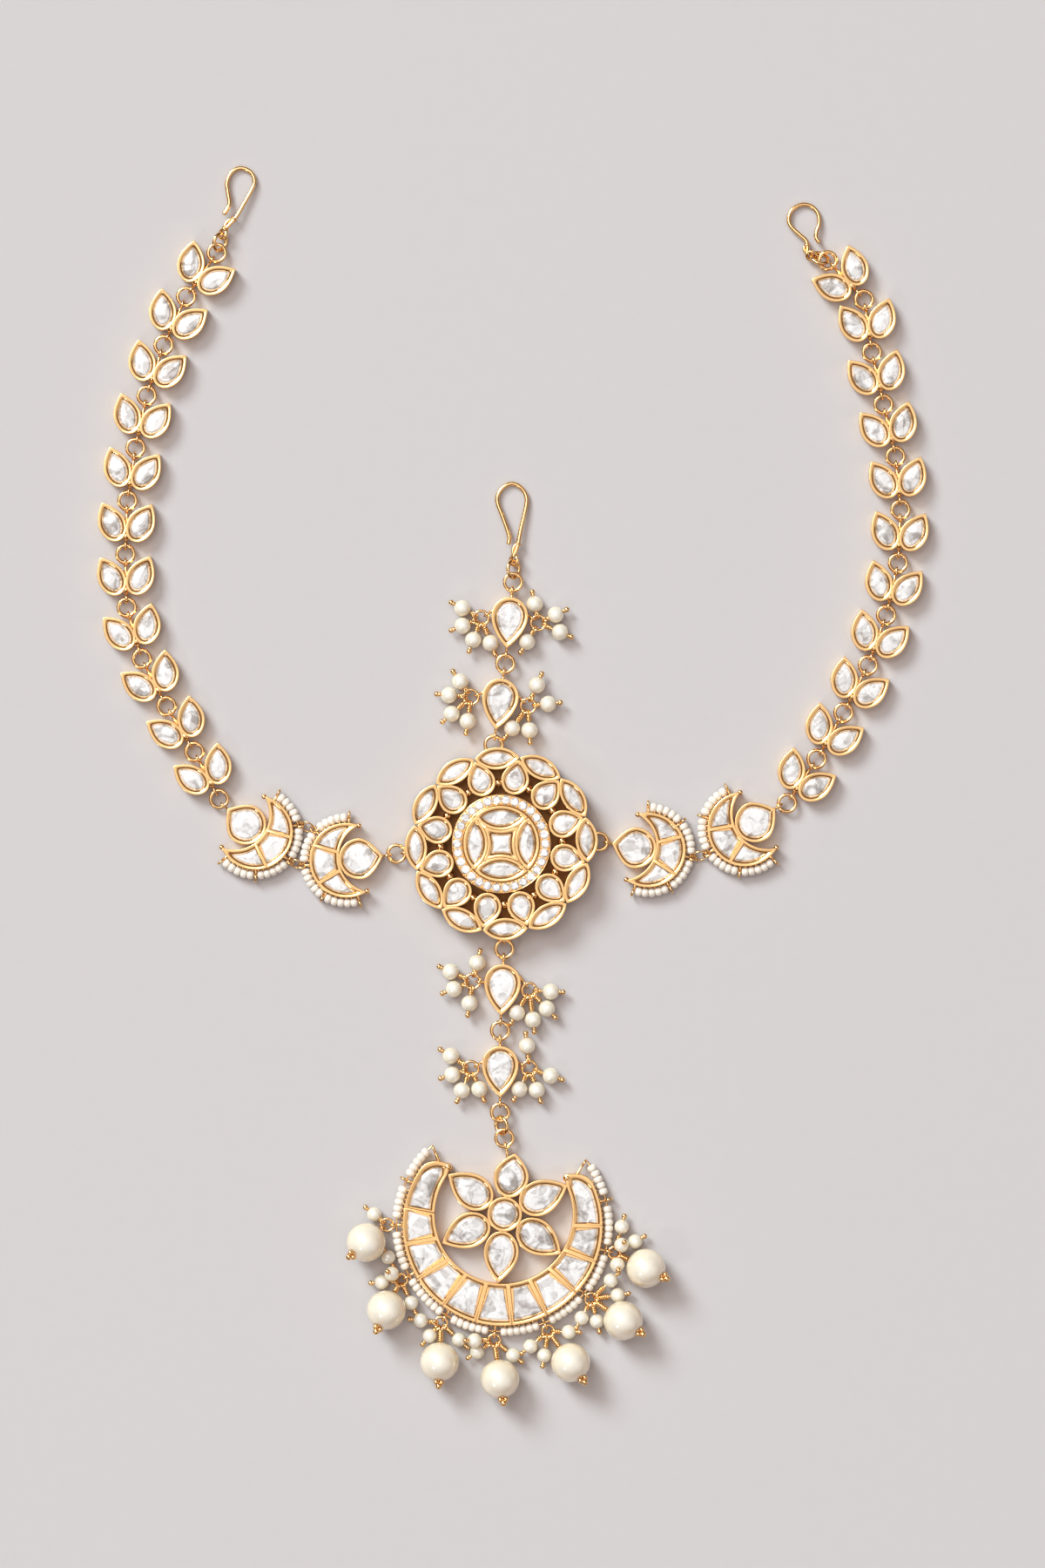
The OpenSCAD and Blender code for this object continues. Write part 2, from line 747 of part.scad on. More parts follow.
module drop(k) {
    i = k - 1;
    color(gold)
        at_drop(i) {
            translate([0, drop_belly, 0])
                difference() {
                    rotate(180)
                        prism(ovate(drop_tip, drop_round, drop_half), 0, drop_h);
                    rotate(180)
                        pocket(drop_tip, drop_round, drop_half, stone_floor, drop_h - cup_step, drop_h);
                }
            translate([0, ring_r, centre_z])
                rotate(90) {
                    eye(chain_eye_r, eye_wire);
                    peg(chain_eye_r, drop_belly - drop_tip - ring_r + overlap, peg_r);
                }
            translate([0, drop_pitch - ring_r, centre_z])
                rotate(-90) {
                    eye(chain_eye_r, eye_wire);
                    peg(chain_eye_r, drop_pitch - ring_r - drop_belly - drop_round + overlap, peg_r);
                }
            for (side = [0, 1])
                translate([(side * 2 - 1) * drop_eye_side, drop_belly, centre_z])
                    rotate(180 - 180 * side)
                        eye_on_peg(cluster_turns[i][side] - drop_turns[i] - 90 + 180 * side,
                            drop_eye_side - drop_half + overlap);
        }
}

module stones_drops() {
    color(glass)
        for (k = [0:drops - 1])
            at_drop(k)
                translate([0, drop_belly, 0])
                    rotate(180)
                        pocket_stone(drop_tip, drop_round, drop_half, stone_floor + 0.05, stone_top + 0.2);
}

module crescent(inset, low, high) {
    difference() {
        translate([0, 0, low])
            cylinder(h = high - low, r = pendant_r - inset, $fn = 96);
        translate([0, inner_up, low - 1])
            cylinder(h = high - low + 2, r = pendant_inner_r + inset, $fn = 96);
        translate([-pendant_r, horn_cut - inset, low - 1])
            cube([2 * pendant_r, pendant_r, high - low + 2]);
    }
}

module crescent_cells(inset, bar, low, high) {
    difference() {
        crescent(inset, low, high);
        for (k = [0:bars - 1])
            rotate(270 + bar_step * (k - (bars - 1) / 2))
                translate([pendant_inner_r - 5, -bar / 2, low - 1])
                    cube([pendant_r, bar, high - low + 2]);
    }
}

module flower_petals(low, high, inset = 0) {
    for (k = [0:petal_count - 1]) {
        reach = k == 0 ? top_petal_reach : petal_reach;
        tip = reach - petal_inner - petal_round;
        rotate(k * 60 - (k == 0 ? top_petal_turn : 0))
            translate([0, petal_inner + petal_round, 0])
                prism(inset == 0 ? ovate(tip, petal_round, petal_half)
                    : inset_ovate(tip, petal_round, petal_half, inset), low, high);
    }
}

module at_pendant() {
    translate([pendant_at.x, pendant_at.y, 0])
        rotate(pendant_turn)
            children();
}

module at_flower() {
    translate([flower_at.x, flower_at.y, 0])
        children();
}

module pendant() {
    top_eye_turn = -80;
    top_eye = pendant_ring_3 + ring_r * dir(top_eye_turn);
    color(gold) {
        at_pendant() {
            difference() {
                union() {
                    crescent(0, 0, pendant_h);
                    at_flower() {
                        flower_petals(0, flower_h);
                        cylinder(h = flower_h + 0.2, r = flower_cup_r);
                    }
                }
                crescent_cells(horn_wall, bar_w, stone_floor, pendant_h + 1);
                at_flower() {
                    difference() {
                        flower_petals(flower_h - cup_step, flower_h + 1, cup_wall);
                        cylinder(h = flower_h + 2, r = flower_cup_r);
                    }
                    difference() {
                        flower_petals(stone_floor, flower_h, cup_wall + ledge_w);
                        cylinder(h = flower_h + 2, r = flower_cup_r);
                    }
                    translate([0, 0, stone_floor])
                        cylinder(h = flower_h + 1, r = flower_cup_r - 0.7);
                }
            }
            for (k = [0:last_eye])
                rotate(90 + pendant_eyes[k])
                    translate([eye_radius(k), 0, pendant_z])
                        if (is_end(k))
                            eye_on_peg(k == 0 ? -end_eye_turn : end_eye_turn, end_eye_depth);
                        else
                            eye_on_peg(0, pendant_eye_r - pendant_r + overlap);
        }
        translate([top_eye.x, top_eye.y, centre_z])
            rotate(top_eye_turn) {
                eye(chain_eye_r, eye_wire);
                peg(chain_eye_r, chain_eye_r + 1.4, peg_r);
            }
    }
}

module stones_pendant() {
    color(glass)
        at_pendant() {
            crescent_cells(horn_wall + 0.15, bar_w + 0.3, stone_floor + 0.05, pendant_h - 0.3);
            at_flower() {
                difference() {
                    flower_petals(stone_floor + 0.05, stone_top + 0.3, cup_wall + ledge_w + stone_fit);
                    cylinder(h = flower_h + 2, r = flower_cup_r + stone_fit);
                }
                translate([0, 0, stone_floor + 0.05])
                    cylinder(h = 1.6, r = flower_cup_r - 0.7 - stone_fit);
            }
        }
}

module big_pearl(k) {
    row = big_table[k - 1];
    reach = row[2];
    high = big_pearl_d / 2;
    color(pearl)
        on_ring(hang_ring(k - 1), pendant_z, hang_ring_r, row[1], reach, high)
            bored_pearl(pin_reach(pendant_z, hang_ring_r, reach, high), big_pearl_d);
}

module pendant_pearls() {
    color(pearl)
        for (i = [0:len(big_table) - 1])
            for (p = small_table[i])
                on_ring(hang_ring(i), pendant_z, hang_ring_r, p[0], p[1], p[2])
                    bored_pearl(pin_reach(pendant_z, hang_ring_r, p[1], p[2]), small_pearl_d);
}

module pendant_pins() {
    high = big_pearl_d / 2;
    color(gold)
        for (i = [0:len(big_table) - 1]) {
            reach = big_table[i][2];
            on_ring(hang_ring(i), pendant_z, hang_ring_r, big_table[i][1], reach, high)
                head_pin(pin_reach(pendant_z, hang_ring_r, reach, high), big_pearl_d, 0.7);
            for (p = small_table[i])
                on_ring(hang_ring(i), pendant_z, hang_ring_r, p[0], p[1], p[2])
                    head_pin(pin_reach(pendant_z, hang_ring_r, p[1], p[2]), small_pearl_d, 0.45);
        }
}

// Puts children at each pearl of the clusters beside the centre chain
module cluster_parts(pins) {
    for (k = [0:drops - 1])
        for (side = [0, 1])
            for (p = cluster_table[k][side])
                on_ring(cluster_ring(k, side), centre_z, cluster_ring_r, p[0], p[1], centre_z) {
                    reach = p[1] - cluster_ring_r;
                    if (pins)
                        head_pin(reach, cluster_pearl_d, pin_ball);
                    else
                        bored_pearl(reach, cluster_pearl_d);
                }
}

module cluster_pearls() {
    color(pearl)
        cluster_parts(false);
}

module cluster_pins() {
    color(gold)
        cluster_parts(true);
}

module chain_rings(last, turns) {
    for (k = [0:links])
        placed_ring(chain_ring(last, turns, k), arm_z, ring_r, ring_wire);
}

module tie_rings(pairs) {
    for (pair = pairs) {
        middle = (pair[0] + pair[1]) / 2;
        way = pair[1] - pair[0];
        placed_ring(middle, arm_z, norm(way) / 2, tie_wire, heading(way), tie_lean);
    }
}

module rings_left() {
    color(gold) {
        chain_rings(left_last, left_turns);
        placed_ring(left_hook_ring, lean_z, ring_r, ring_wire, left_hook_way, ring_lean);
        placed_ring(medallion_ring(2), arm_z, ring_r, ring_wire);
        tie_rings(left_ties);
    }
}

module rings_right() {
    color(gold) {
        chain_rings(right_last, right_turns);
        placed_ring(right_hook_ring, lean_z, ring_r, ring_wire, right_hook_way, ring_lean);
        placed_ring(medallion_ring(0), arm_z, ring_r, ring_wire);
        tie_rings(right_ties);
    }
}

module rings_centre() {
    color(gold) {
        for (at = [top_ring, bottom_ring, middle_ring, lower_ring, hook_ring_1,
            pendant_ring_1, pendant_ring_3])
            placed_ring(at, centre_z, ring_r, ring_wire);
        placed_ring(hook_ring_2, lean_z, ring_r, ring_wire, hook_ring_way, ring_lean);
        placed_ring(pendant_ring_2, lean_z, ring_r, ring_wire,
            (pendant_ring_ways[0] + pendant_ring_ways[1]) / 2, ring_lean);
        for (k = [0:drops - 1])
            for (side = [0, 1])
                placed_ring(cluster_ring(k, side), centre_z, cluster_ring_r, cluster_ring_wire);
        for (i = [0:len(big_table) - 1])
            placed_ring(hang_ring(i), pendant_z, hang_ring_r, hang_wire);
    }
}

// A hook whose eye leans with the ring it hangs on; its wire sinks to the surface at the far end
module hook(at, way, wire_points, sleeve_end) {
    path = smooth_path(wire_points, hook_smooth);
    shank = wire_points[len(wire_points) - 1];
    far = max([for (p = wire_points) p.y]);
    sink = asin((lean_z - hook_wire - 0.05) / far);
    sleeve = sleeve_end - shank;
    color(gold)
        translate([at.x, at.y, lean_z])
            rotate([-sink, 0, 0]) {
                flat_wire(path, hook_wire, hook_sides);
                translate([shank.x, shank.y, 0])
                    rotate(heading(sleeve))
                        peg(0.1, norm(sleeve), sleeve_r);
                rotate(way)
                    rotate([ring_lean, 0, 0])
                        eye(hook_eye_hole + hook_eye_wire, hook_eye_wire);
            }
}

module hook_left() {
    hook(left_hook_eye, left_hook_way, left_hook_wire, [2.5, 3.2]);
}

module hook_centre() {
    hook(centre_hook_eye, hook_ring_way, centre_hook_wire, [1, 3.6]);
}

module hook_right() {
    hook(right_hook_eye, right_hook_way, right_hook_wire, [-0.9, 2.3]);
}

module seed_beads_left() {
    color(pearl) {
        fan_beads(left_outer, left_outer_axis, left_outer_leans);
        fan_beads(left_inner, left_inner_axis, left_inner_leans);
    }
}

module seed_beads_right() {
    color(pearl) {
        fan_beads(right_inner, right_inner_axis, right_inner_leans);
        fan_beads(right_outer, right_outer_axis, right_outer_leans);
    }
}

module seed_beads_pendant() {
    color(pearl)
        translate([0, 0, pendant_z])
            at_pendant()
                for (k = [0:len(pendant_eyes) - 2]) {
                    arc = (pendant_eyes[k + 1] - pendant_eyes[k]) * PI / 180 * pendant_bead_r;
                    count = floor((arc - 2 * hang_gap) / bead_pitch);
                    gap = (arc - count * bead_pitch) / 2;
                    bead_arc(pendant_bead_r, 90 + pendant_eyes[k], 90 + pendant_eyes[k + 1],
                        gap, gap, count, pendant_bead_space);
                }
}

for (k = [1:links])
    leaf_left(k);
for (k = [1:links])
    leaf_right(k);
fan_left_outer();
fan_left_inner();
fan_right_inner();
fan_right_outer();
medallion();
pave_ring();
for (k = [1:drops])
    drop(k);
pendant();
for (k = [1:len(big_table)])
    big_pearl(k);
hook_left();
hook_centre();
hook_right();
arm_stones(left_last, left_turns);  // stones_left_arm
arm_stones(right_last, right_turns);  // stones_right_arm
stones_fans();
stones_medallion();
stones_drops();
stones_pendant();
rings_left();
rings_right();
rings_centre();
seed_beads_left();
seed_beads_right();
seed_beads_pendant();
cluster_pearls();
cluster_pins();
pendant_pearls();
pendant_pins();
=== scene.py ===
"""Looks of the mathapatti headpiece: its cups, stones, pearls, beads, rings and hooks, modelled around
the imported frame, and the plain pale stage that it lies on."""

import math
import random

import bmesh
import bpy
from bpy.props import FloatProperty, FloatVectorProperty, IntProperty, PointerProperty
from mathutils import Matrix, Vector


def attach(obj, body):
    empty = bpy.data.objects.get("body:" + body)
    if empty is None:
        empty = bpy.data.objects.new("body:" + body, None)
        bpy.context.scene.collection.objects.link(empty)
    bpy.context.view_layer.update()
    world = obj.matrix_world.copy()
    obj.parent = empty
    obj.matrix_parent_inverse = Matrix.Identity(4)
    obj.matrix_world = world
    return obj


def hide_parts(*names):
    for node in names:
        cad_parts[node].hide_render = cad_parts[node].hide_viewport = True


bl_info = {
    "name": "Mathapatti headpiece",
    "version": (1, 0, 0),
    "blender": (4, 5, 0),
    "location": "3D View > Sidebar > Headpiece",
    "description": "Models the cups, stones, pearls, rings and hooks of a laid-out mathapatti",
    "category": "Object",
}

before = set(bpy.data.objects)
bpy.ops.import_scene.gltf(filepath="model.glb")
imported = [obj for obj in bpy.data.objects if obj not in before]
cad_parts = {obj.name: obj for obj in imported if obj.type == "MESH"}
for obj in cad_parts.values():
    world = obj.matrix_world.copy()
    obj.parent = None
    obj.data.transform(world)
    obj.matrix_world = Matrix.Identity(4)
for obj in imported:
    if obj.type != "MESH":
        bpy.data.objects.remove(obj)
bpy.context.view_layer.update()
MM = 0.001


# Layout of the headpiece, in millimetres and degrees. A leaf or teardrop is given by the length of its
# pointed side, the length of its round side and its half width.

RING_R = 1.75
RING_WIRE = 0.35
RING_STEP = 2.65
RING_LEAN = 50
EYE_R = 0.77
EYE_WIRE = 0.25
SMALL_EYE_R = 0.65

LEAF = (4.9, 3.7, 2.8)
LEAF_APART = LEAF[2] * 1.036
LEAF_LEAN = 27
LEAF_PITCH = 10.9
LEAF_H = 2.8
LINK_TURNS = {
    "left": (-35, -25, -18.5, -12, -8.7, -2.1, 1.4, 16.2, 27.6, 31.5, 27.6),
    "right": (43, 8.4, 12.5, 13.1, 5.4, -2.7, -12.8, -19.9, -27.3, -30.2, -33.7),
}

FAN_R = 7.65
FAN_INNER_R = 7.12
FAN_INNER_BACK = 5.6
FAN_CUP_BACK = 2.74
FAN_CUP = (4.7, 4.4, 4.2)
FAN_H = 2.8
FAN_BAR_TURN = 23.5
FAN_KNOB = (-3.35, 6.74)
FAN_EYE_R = 9.3
FAN_TIP_R = 8.42
FAN_EYE_TURNS = (-100, -50, 0, 50, 100)
FAN_BEAD_R = 8.7
FAN_BEADS = 5
BEAD_GAP = 0.42
TIE_GAP = 0.75
TIE_LEAN = 50
TIE_WIRE = 0.18

ARM_Z = LEAF_H / 2
CENTRE_Z = 1.7
PENDANT_Z = 1.5
LEAN_Z = RING_R * math.sin(math.radians(RING_LEAN)) + RING_WIRE + 0.02

MEDALLION_AT = Vector((-2.46, -11.46))
PETALS = 12
MARQUISE_TURN = 2.7
MARQUISE_R = 17.4
MARQUISE = (4.65, 2.3)
TEARDROP_R = 13.25
TEARDROP = (4.3, 3.0, 2.85)
BALL_REACH = 12.4
CUP_LOW = 1.0
CUP_TOP = 5.2
DRUM_CUP_LOW = 3
DRUM_TOP = 5.4
DRUM_R = 7.74
BASE_R = 17.5
PLATE_TOP = 0.9
PAVE_R = (7.84, 10.1)
PAVE_TOP = 4.9
LENS_AWAY = Vector((9.36, 0))
LENS_CUT_R = 6.63
LENS_R = 7.74
STAR_HALF = 3.3
# Eyes of the medallion: reach and direction of each one's ring, height
MEDALLION_EYES = ((19.95, 1.2, ARM_Z), (20.25, 94.4, CENTRE_Z), (21.5, 185.5, ARM_Z),
                  (21.48, 271.6, CENTRE_Z))

DROP = (6.6, 3.9, 3.74)
DROP_H = 3.2
DROP_PITCH = 16.7
DROP_BELLY = RING_R + 1.35 + DROP[0]
DROP_EYE_SIDE = 4.64
DROP_TURNS = (84.5, 81.9, 87.1, 90)

CLUSTER_RING_R = 1.5
CLUSTER_RING_WIRE = 0.29
CLUSTER_PEARL_D = 3.4
CLUSTER_TURNS = ((214, -36), (201, -44), (175, -56), (210, -28))
# Pearls of each cluster: direction and reach from the middle of its ring
CLUSTERS = (
    (((152, 4.35), (202, 4.05), (250, 4.65), (291, 5.4)), ((101, 3.9), (25, 3.9), (337, 4.8), (239, 4.5))),
    (((125, 3.9), (175, 4.5), (221, 5.2), (262, 4.95)), ((67, 4.6), (6, 4.1), (234, 5.6), (273, 4.95))),
    (((76, 3.9), (156, 4.9), (202, 4.1), (262, 4.5)), ((357, 4.4), (314, 5.15), (277, 6), (241, 5.2))),
    (((148, 4.9), (198, 4), (247, 4.8), (292, 4.5)), ((96, 4.65), (341, 4.6), (289, 4.65), (244, 4.7))),
)

PENDANT_AT = Vector((-2.2, -89.36))
PENDANT_TURN = -5.25
PENDANT_R = 20.4
PENDANT_INNER_R = 14.06
PENDANT_INNER_UP = 2.24
PENDANT_H = 3.0
BARS = 10
BAR_STEP = 21.2
HORN_END = 9.2
HORN_KNOB = (12.2, 10.9, 2.3)
# Granules round the pendant: direction of the first and the last, and how many
GRANULES = (149, 391, 92)
FLOWER_AT = Vector((0.2, 2.4))
FLOWER_CUP_R = 3.56
FLOWER_H = 3.2
PETAL_INNER = 3.45
PETAL_ROUND = 4.3
PETAL_HALF = 3.575
PETAL_REACH = 14.1
TOP_PETAL_REACH = 12.6
TOP_PETAL_TURN = 4.75
TOP_EYE_TURN = -80
PENDANT_EYES = (47.3, 70, 95, 123.5, 153, 181, 208.5, 235.5, 261.5, 289, 312.7)
PENDANT_EYE_R = 22.3
END_EYE_R = 20.95
END_EYE_TURN = 20
PENDANT_BEAD_R = 21.65
BEAD_PITCH = 1.32
BEAD_D = 1.92
HANG_GAP = 0.88
HANG_RING_R = 1.25
HANG_WIRE = 0.27
BIG_PEARL_D = 8.0
SMALL_PEARL_D = 3.0
# Hanging groups: number of the eye, then the direction and reach from the middle of its ring and the
# height of each pearl, the big one first
HANGING = (
    (2, (218.8, 5.45, 4), (141, 3.45, 1.5)),
    (3, (243.8, 6.6, 4), (119, 5.3, 1.5), (142, 2.3, 3.5), (186, 3.95, 1.5), (294, 5.1, 1.5)),
    (4, (268, 7.7, 4), (173, 4.2, 1.5), (229, 3.5, 1.5), (317, 5, 1.5)),
    (5, (279, 7.75, 4), (177.5, 3.95, 3.4), (214, 4.15, 1.5), (322, 4.9, 1.5)),
    (6, (306.8, 7.65, 4), (220, 4.7, 1.5), (261, 4.95, 1.5), (359, 4.2, 1.8)),
    (7, (327.2, 7.7, 4), (242.5, 4.3, 1.5), (284, 4.65, 1.5), (44, 5.5, 1.5), (8.5, 5.45, 1.5)),
    (8, (335, 7, 4), (75, 5.5, 1.5), (29, 4.75, 1.5), (52, 2.2, 3.5), (283, 2.3, 3.5)),
)


def ray(turn, reach=1.0):
    """A step of that reach in a direction in the plane."""
    return Vector((math.cos(math.radians(turn)), math.sin(math.radians(turn)))) * reach


def heading(step):
    return math.degrees(math.atan2(step.y, step.x))


MEDALLION_RINGS = [MEDALLION_AT + ray(turn, reach) for reach, turn, _ in MEDALLION_EYES]
RIGHT_INNER_AXIS = -10
# Each fan: middle of its crescent, axis, direction of its tip ring, leans of its five edge eyes
FANS = {
    "left_outer": (Vector((-52.6, -9.17)), -40, 126, (0, 0, 45, 45, 0)),
    "left_inner": (Vector((-34, -14.86)), 187, 5.5, (0, -45, -45, 0, 0)),
    "right_inner": (MEDALLION_RINGS[0] + ray(-8, RING_R) + ray(RIGHT_INNER_AXIS, FAN_TIP_R),
                    RIGHT_INNER_AXIS, -8, (0, 0, 45, 0, 0)),
    "right_outer": (Vector((47.2, -8.46)), 213.4, 20, (0, 0, -45, 0, 0)),
}
# Each side: the medallion's eye that it hangs on, and the pairs of fan eyes that are tied together
SIDES = {
    "left": (2, ((("left_outer", 3), ("left_inner", 1)), (("left_outer", 2), ("left_inner", 2)))),
    "right": (0, ((("right_inner", 2), ("right_outer", 2)),)),
}


def chain_places(side):
    """Rings of a side chain from its free end to the fan, and (middle, turn) of each link."""
    at, axis, tip_turn, _ = FANS[f"{side}_outer"]
    rings = [at - ray(axis, FAN_TIP_R) + ray(tip_turn, RING_R)]
    links = []
    for turn in reversed(LINK_TURNS[side]):
        up = -ray(turn - 90, LEAF_PITCH)
        links.insert(0, (rings[0] + up / 2, turn))
        rings.insert(0, rings[0] + up)
    return rings, links


CHAINS = {side: chain_places(side) for side in SIDES}
TOP_RING = MEDALLION_RINGS[1]
BOTTOM_RING = MEDALLION_RINGS[3]
MIDDLE_RING = TOP_RING + ray(DROP_TURNS[1], DROP_PITCH)
HIGH_RING = MIDDLE_RING + ray(DROP_TURNS[0], DROP_PITCH)
LOWER_RING = BOTTOM_RING - ray(DROP_TURNS[2], DROP_PITCH)
PENDANT_RING_1 = LOWER_RING - ray(DROP_TURNS[3], DROP_PITCH)
PENDANT_RING_2 = PENDANT_RING_1 + ray(-84, RING_STEP)
PENDANT_RING_3 = PENDANT_RING_2 + ray(-77, RING_STEP)
DROP_LOW = (MIDDLE_RING, TOP_RING, LOWER_RING, PENDANT_RING_1)

# Each hook: the ring that its leaning ring follows, the way on and the reach to that, the end of its
# sleeve, and points of the bent wire from its free end to the shank, from the middle of the hook's eye
HOOKS = {
    "left": (CHAINS["left"][0][0], 72, 2.3, (2.5, 3.2), (
        (0.1, 4), (0.9, 5.1), (1.3, 6.4), (1, 8.5), (0.8, 10.6), (1.7, 12.7), (3.6, 13.6), (5.6, 12.8),
        (6.4, 10.9), (5.8, 9), (4.3, 6.3), (2.5, 3.2), (0.3, 0.85))),
    "centre": (HIGH_RING, 87.8, RING_STEP, (1, 3.6), (
        (-1.15, 3.3), (-0.95, 4.6), (-1.25, 6), (-2, 8.2), (-2.85, 10.4), (-3.3, 11.7), (-3.4, 13),
        (-2.8, 14.4), (-1.7, 15.4), (-0.3, 15.8), (1.2, 15.2), (2.2, 14), (2.6, 12.7), (2.5, 11.3),
        (2.1, 9.4), (1.5, 6.9), (1.1, 4.8), (0.85, 3.4), (0.05, 0.9))),
    "right": (CHAINS["right"][0][0], 165, 1.7, (-0.9, 2.3), (
        (1.7, 2.7), (1, 3.8), (1.1, 5.1), (1.6, 6.6), (1.5, 8.4), (0.7, 9.8), (-0.7, 10.6), (-2.4, 10.5),
        (-4, 9.4), (-4.6, 7.7), (-4.2, 6.2), (-2.5, 4.5), (-1, 3), (-0.75, 0.55))),
}


def hook_ring(name):
    """Middle of the leaning ring that holds a hook, and the way on to the hook."""
    start, way, reach = HOOKS[name][:3]
    return start + ray(way, reach), way


def cluster_ring(k, side):
    sign = side * 2 - 1
    eye = DROP_LOW[k] + ray(DROP_TURNS[k], DROP_BELLY) + ray(DROP_TURNS[k] - 90, sign * DROP_EYE_SIDE)
    return eye + ray(CLUSTER_TURNS[k][side], CLUSTER_RING_R)


def hang_ring(i):
    return PENDANT_AT + ray(90 + PENDANT_TURN + PENDANT_EYES[HANGING[i][0]], PENDANT_EYE_R + HANG_RING_R)


# Outlines: each is a function that gives its points, in millimetres, moved inwards by an inset

TIP_POWER = 1.9
ORIGIN = Vector((0, 0))
# A crescent: where its bars start and how broad they are, its outer radius, the middle and radius of
# its hollow side
FAN_CRESCENT = (Vector((-FAN_CUP_BACK, 0)), 1.1, FAN_R, Vector((-FAN_INNER_BACK, 0)), FAN_INNER_R)
LARGE_CRESCENT = (ORIGIN, 1.5, PENDANT_R, Vector((0, PENDANT_INNER_UP)), PENDANT_INNER_R)


def crossing(a, a_r, b, b_r, side):
    """Where two circles cross, on the left of the way from a to b or on its right."""
    way = b - a
    along = (a_r ** 2 - b_r ** 2 + way.length_squared) / (2 * way.length)
    across = math.sqrt(a_r ** 2 - along ** 2)
    way.normalize()
    return a + way * along + Vector((-way.y, way.x)) * across * side


def through(start, turn, centre, r):
    """Where a line that starts inside a circle leaves it."""
    way = ray(turn)
    half = (start - centre).dot(way)
    return start + way * (math.sqrt(half * half - (start - centre).length_squared + r * r) - half)


def arc(centre, start, end, steps):
    """Points from start to end round a centre, the shorter way."""
    first = heading(start - centre)
    sweep = (heading(end - centre) - first + 180) % 360 - 180
    r = (start - centre).length
    return [centre + ray(first + sweep * i / steps, r) for i in range(steps + 1)]


def mirrored(points, axis):
    flip = Matrix.Diagonal((-1, 1) if axis == "X" else (1, -1))
    return [flip @ p for p in reversed(points)]


def thinned(shape):
    """An outline, and the same with only every second point, for its stone."""
    return shape, lambda inset: shape(inset)[::2]


def leaves(tip, back, half):
    """The outline of a leaf or teardrop, its tip on +Y and its widest place on the X axis, and a
    coarser one for its stone."""
    lean = math.sin(math.atan(TIP_POWER * half / tip))

    def leaf(tip_steps, round_steps):
        def shape(inset):
            high, low, wide = tip - inset / lean, back - inset, half - inset
            rise = [i / tip_steps for i in range(tip_steps, 0, -1)]
            side = [(wide * (1 - t ** TIP_POWER), high * t) for t in rise]
            turns = [math.pi * i / round_steps for i in range(round_steps + 1)]
            base = [(wide * math.cos(turn), -low * math.sin(turn)) for turn in turns]
            return side + base + [(-x, y) for x, y in side[:0:-1]]
        return shape
    return leaf(10, 18), leaf(4, 9)


def marquise(long_half, short_half):
    """Two equal arcs that meet in points on +Y and -Y."""
    r = (long_half ** 2 + short_half ** 2) / (2 * short_half)
    centre = Vector((short_half - r, 0))

    def shape(inset):
        tip = Vector((0, math.sqrt((r - inset) ** 2 - (r - short_half) ** 2)))
        right = arc(centre, -tip, tip, 20)
        return right + mirrored(mirrored(right, "X"), "Y")[1:-1]
    return shape


def disc(r, steps):
    return lambda inset: [ray(360 * i / steps, r - inset) for i in range(steps)]


def lens(inset):
    """The cell between the drum's rim and the curved side of its square middle."""
    low, high = (crossing(ORIGIN, LENS_R - inset, LENS_AWAY, LENS_CUT_R - inset, side) for side in (-1, 1))
    return arc(ORIGIN, low, high, 10) + arc(LENS_AWAY, high, low, 10)[1:-1]


def star(inset):
    """The square middle cell with its four hollow sides."""
    r, away = LENS_CUT_R + inset, LENS_AWAY.x
    corner = (away - math.sqrt(2 * r * r - away ** 2)) / 2
    low = min(STAR_HALF - 0.8 * inset, corner - 0.05)
    x = away - math.sqrt(r * r - low * low)
    side = arc(LENS_AWAY, Vector((x, -low)), Vector((x, low)), 8)
    return [Matrix.Rotation(math.radians(90 * k), 2) @ p for k in range(4) for p in side]


def bar_corners(crescent, turn, side, inset):
    """Outer and inner corner of a cell beside a bar, on the bar's left (1) or its right (-1); a bar has
    a flat top and steep sides."""
    start, broad, outer_r, middle, inner_r = crescent
    foot = start + ray(turn + 90 * side, broad * min(inset, 0.2) + 0.3 * max(inset - 0.2, 0))
    return through(foot, turn, ORIGIN, outer_r - inset), through(foot, turn, middle, inner_r + inset)


def fan_middle(inset):
    """The middle cell of a small crescent, between its two bars."""
    outer, inner = bar_corners(FAN_CRESCENT, FAN_BAR_TURN, -1, inset)
    low_outer, low_inner = mirrored([inner, outer], "Y")
    return arc(ORIGIN, low_outer, outer, 8) + arc(FAN_CRESCENT[3], inner, low_inner, 8)


def fan_end(side):
    """An end cell of a small crescent, from a bar to the crescent's tip."""
    def shape(inset):
        back = FAN_CRESCENT[3]
        outer, inner = bar_corners(FAN_CRESCENT, FAN_BAR_TURN, 1, inset)
        tip = crossing(back, FAN_INNER_R + inset, ORIGIN, FAN_R - inset, 1)
        points = arc(ORIGIN, outer, tip, 12) + arc(back, tip, inner, 12)[1:]
        return points if side > 0 else mirrored(points, "Y")
    return shape


def on_fan_bar(p):
    """True on the bars between the cells of a small crescent."""
    return abs(abs(heading(p.xy - FAN_CRESCENT[0])) - FAN_BAR_TURN) < 1.2


def bar_turn(k):
    return 270 + BAR_STEP * (k - (BARS - 1) / 2)


def crescent_cell(k):
    """A cell of the large crescent, between two of its bars."""
    def shape(inset):
        outer, inner = bar_corners(LARGE_CRESCENT, bar_turn(k), 1, inset)
        last_outer, last_inner = bar_corners(LARGE_CRESCENT, bar_turn(k + 1), -1, inset)
        return arc(ORIGIN, outer, last_outer, 8) + arc(LARGE_CRESCENT[3], last_inner, inner, 8)
    return shape


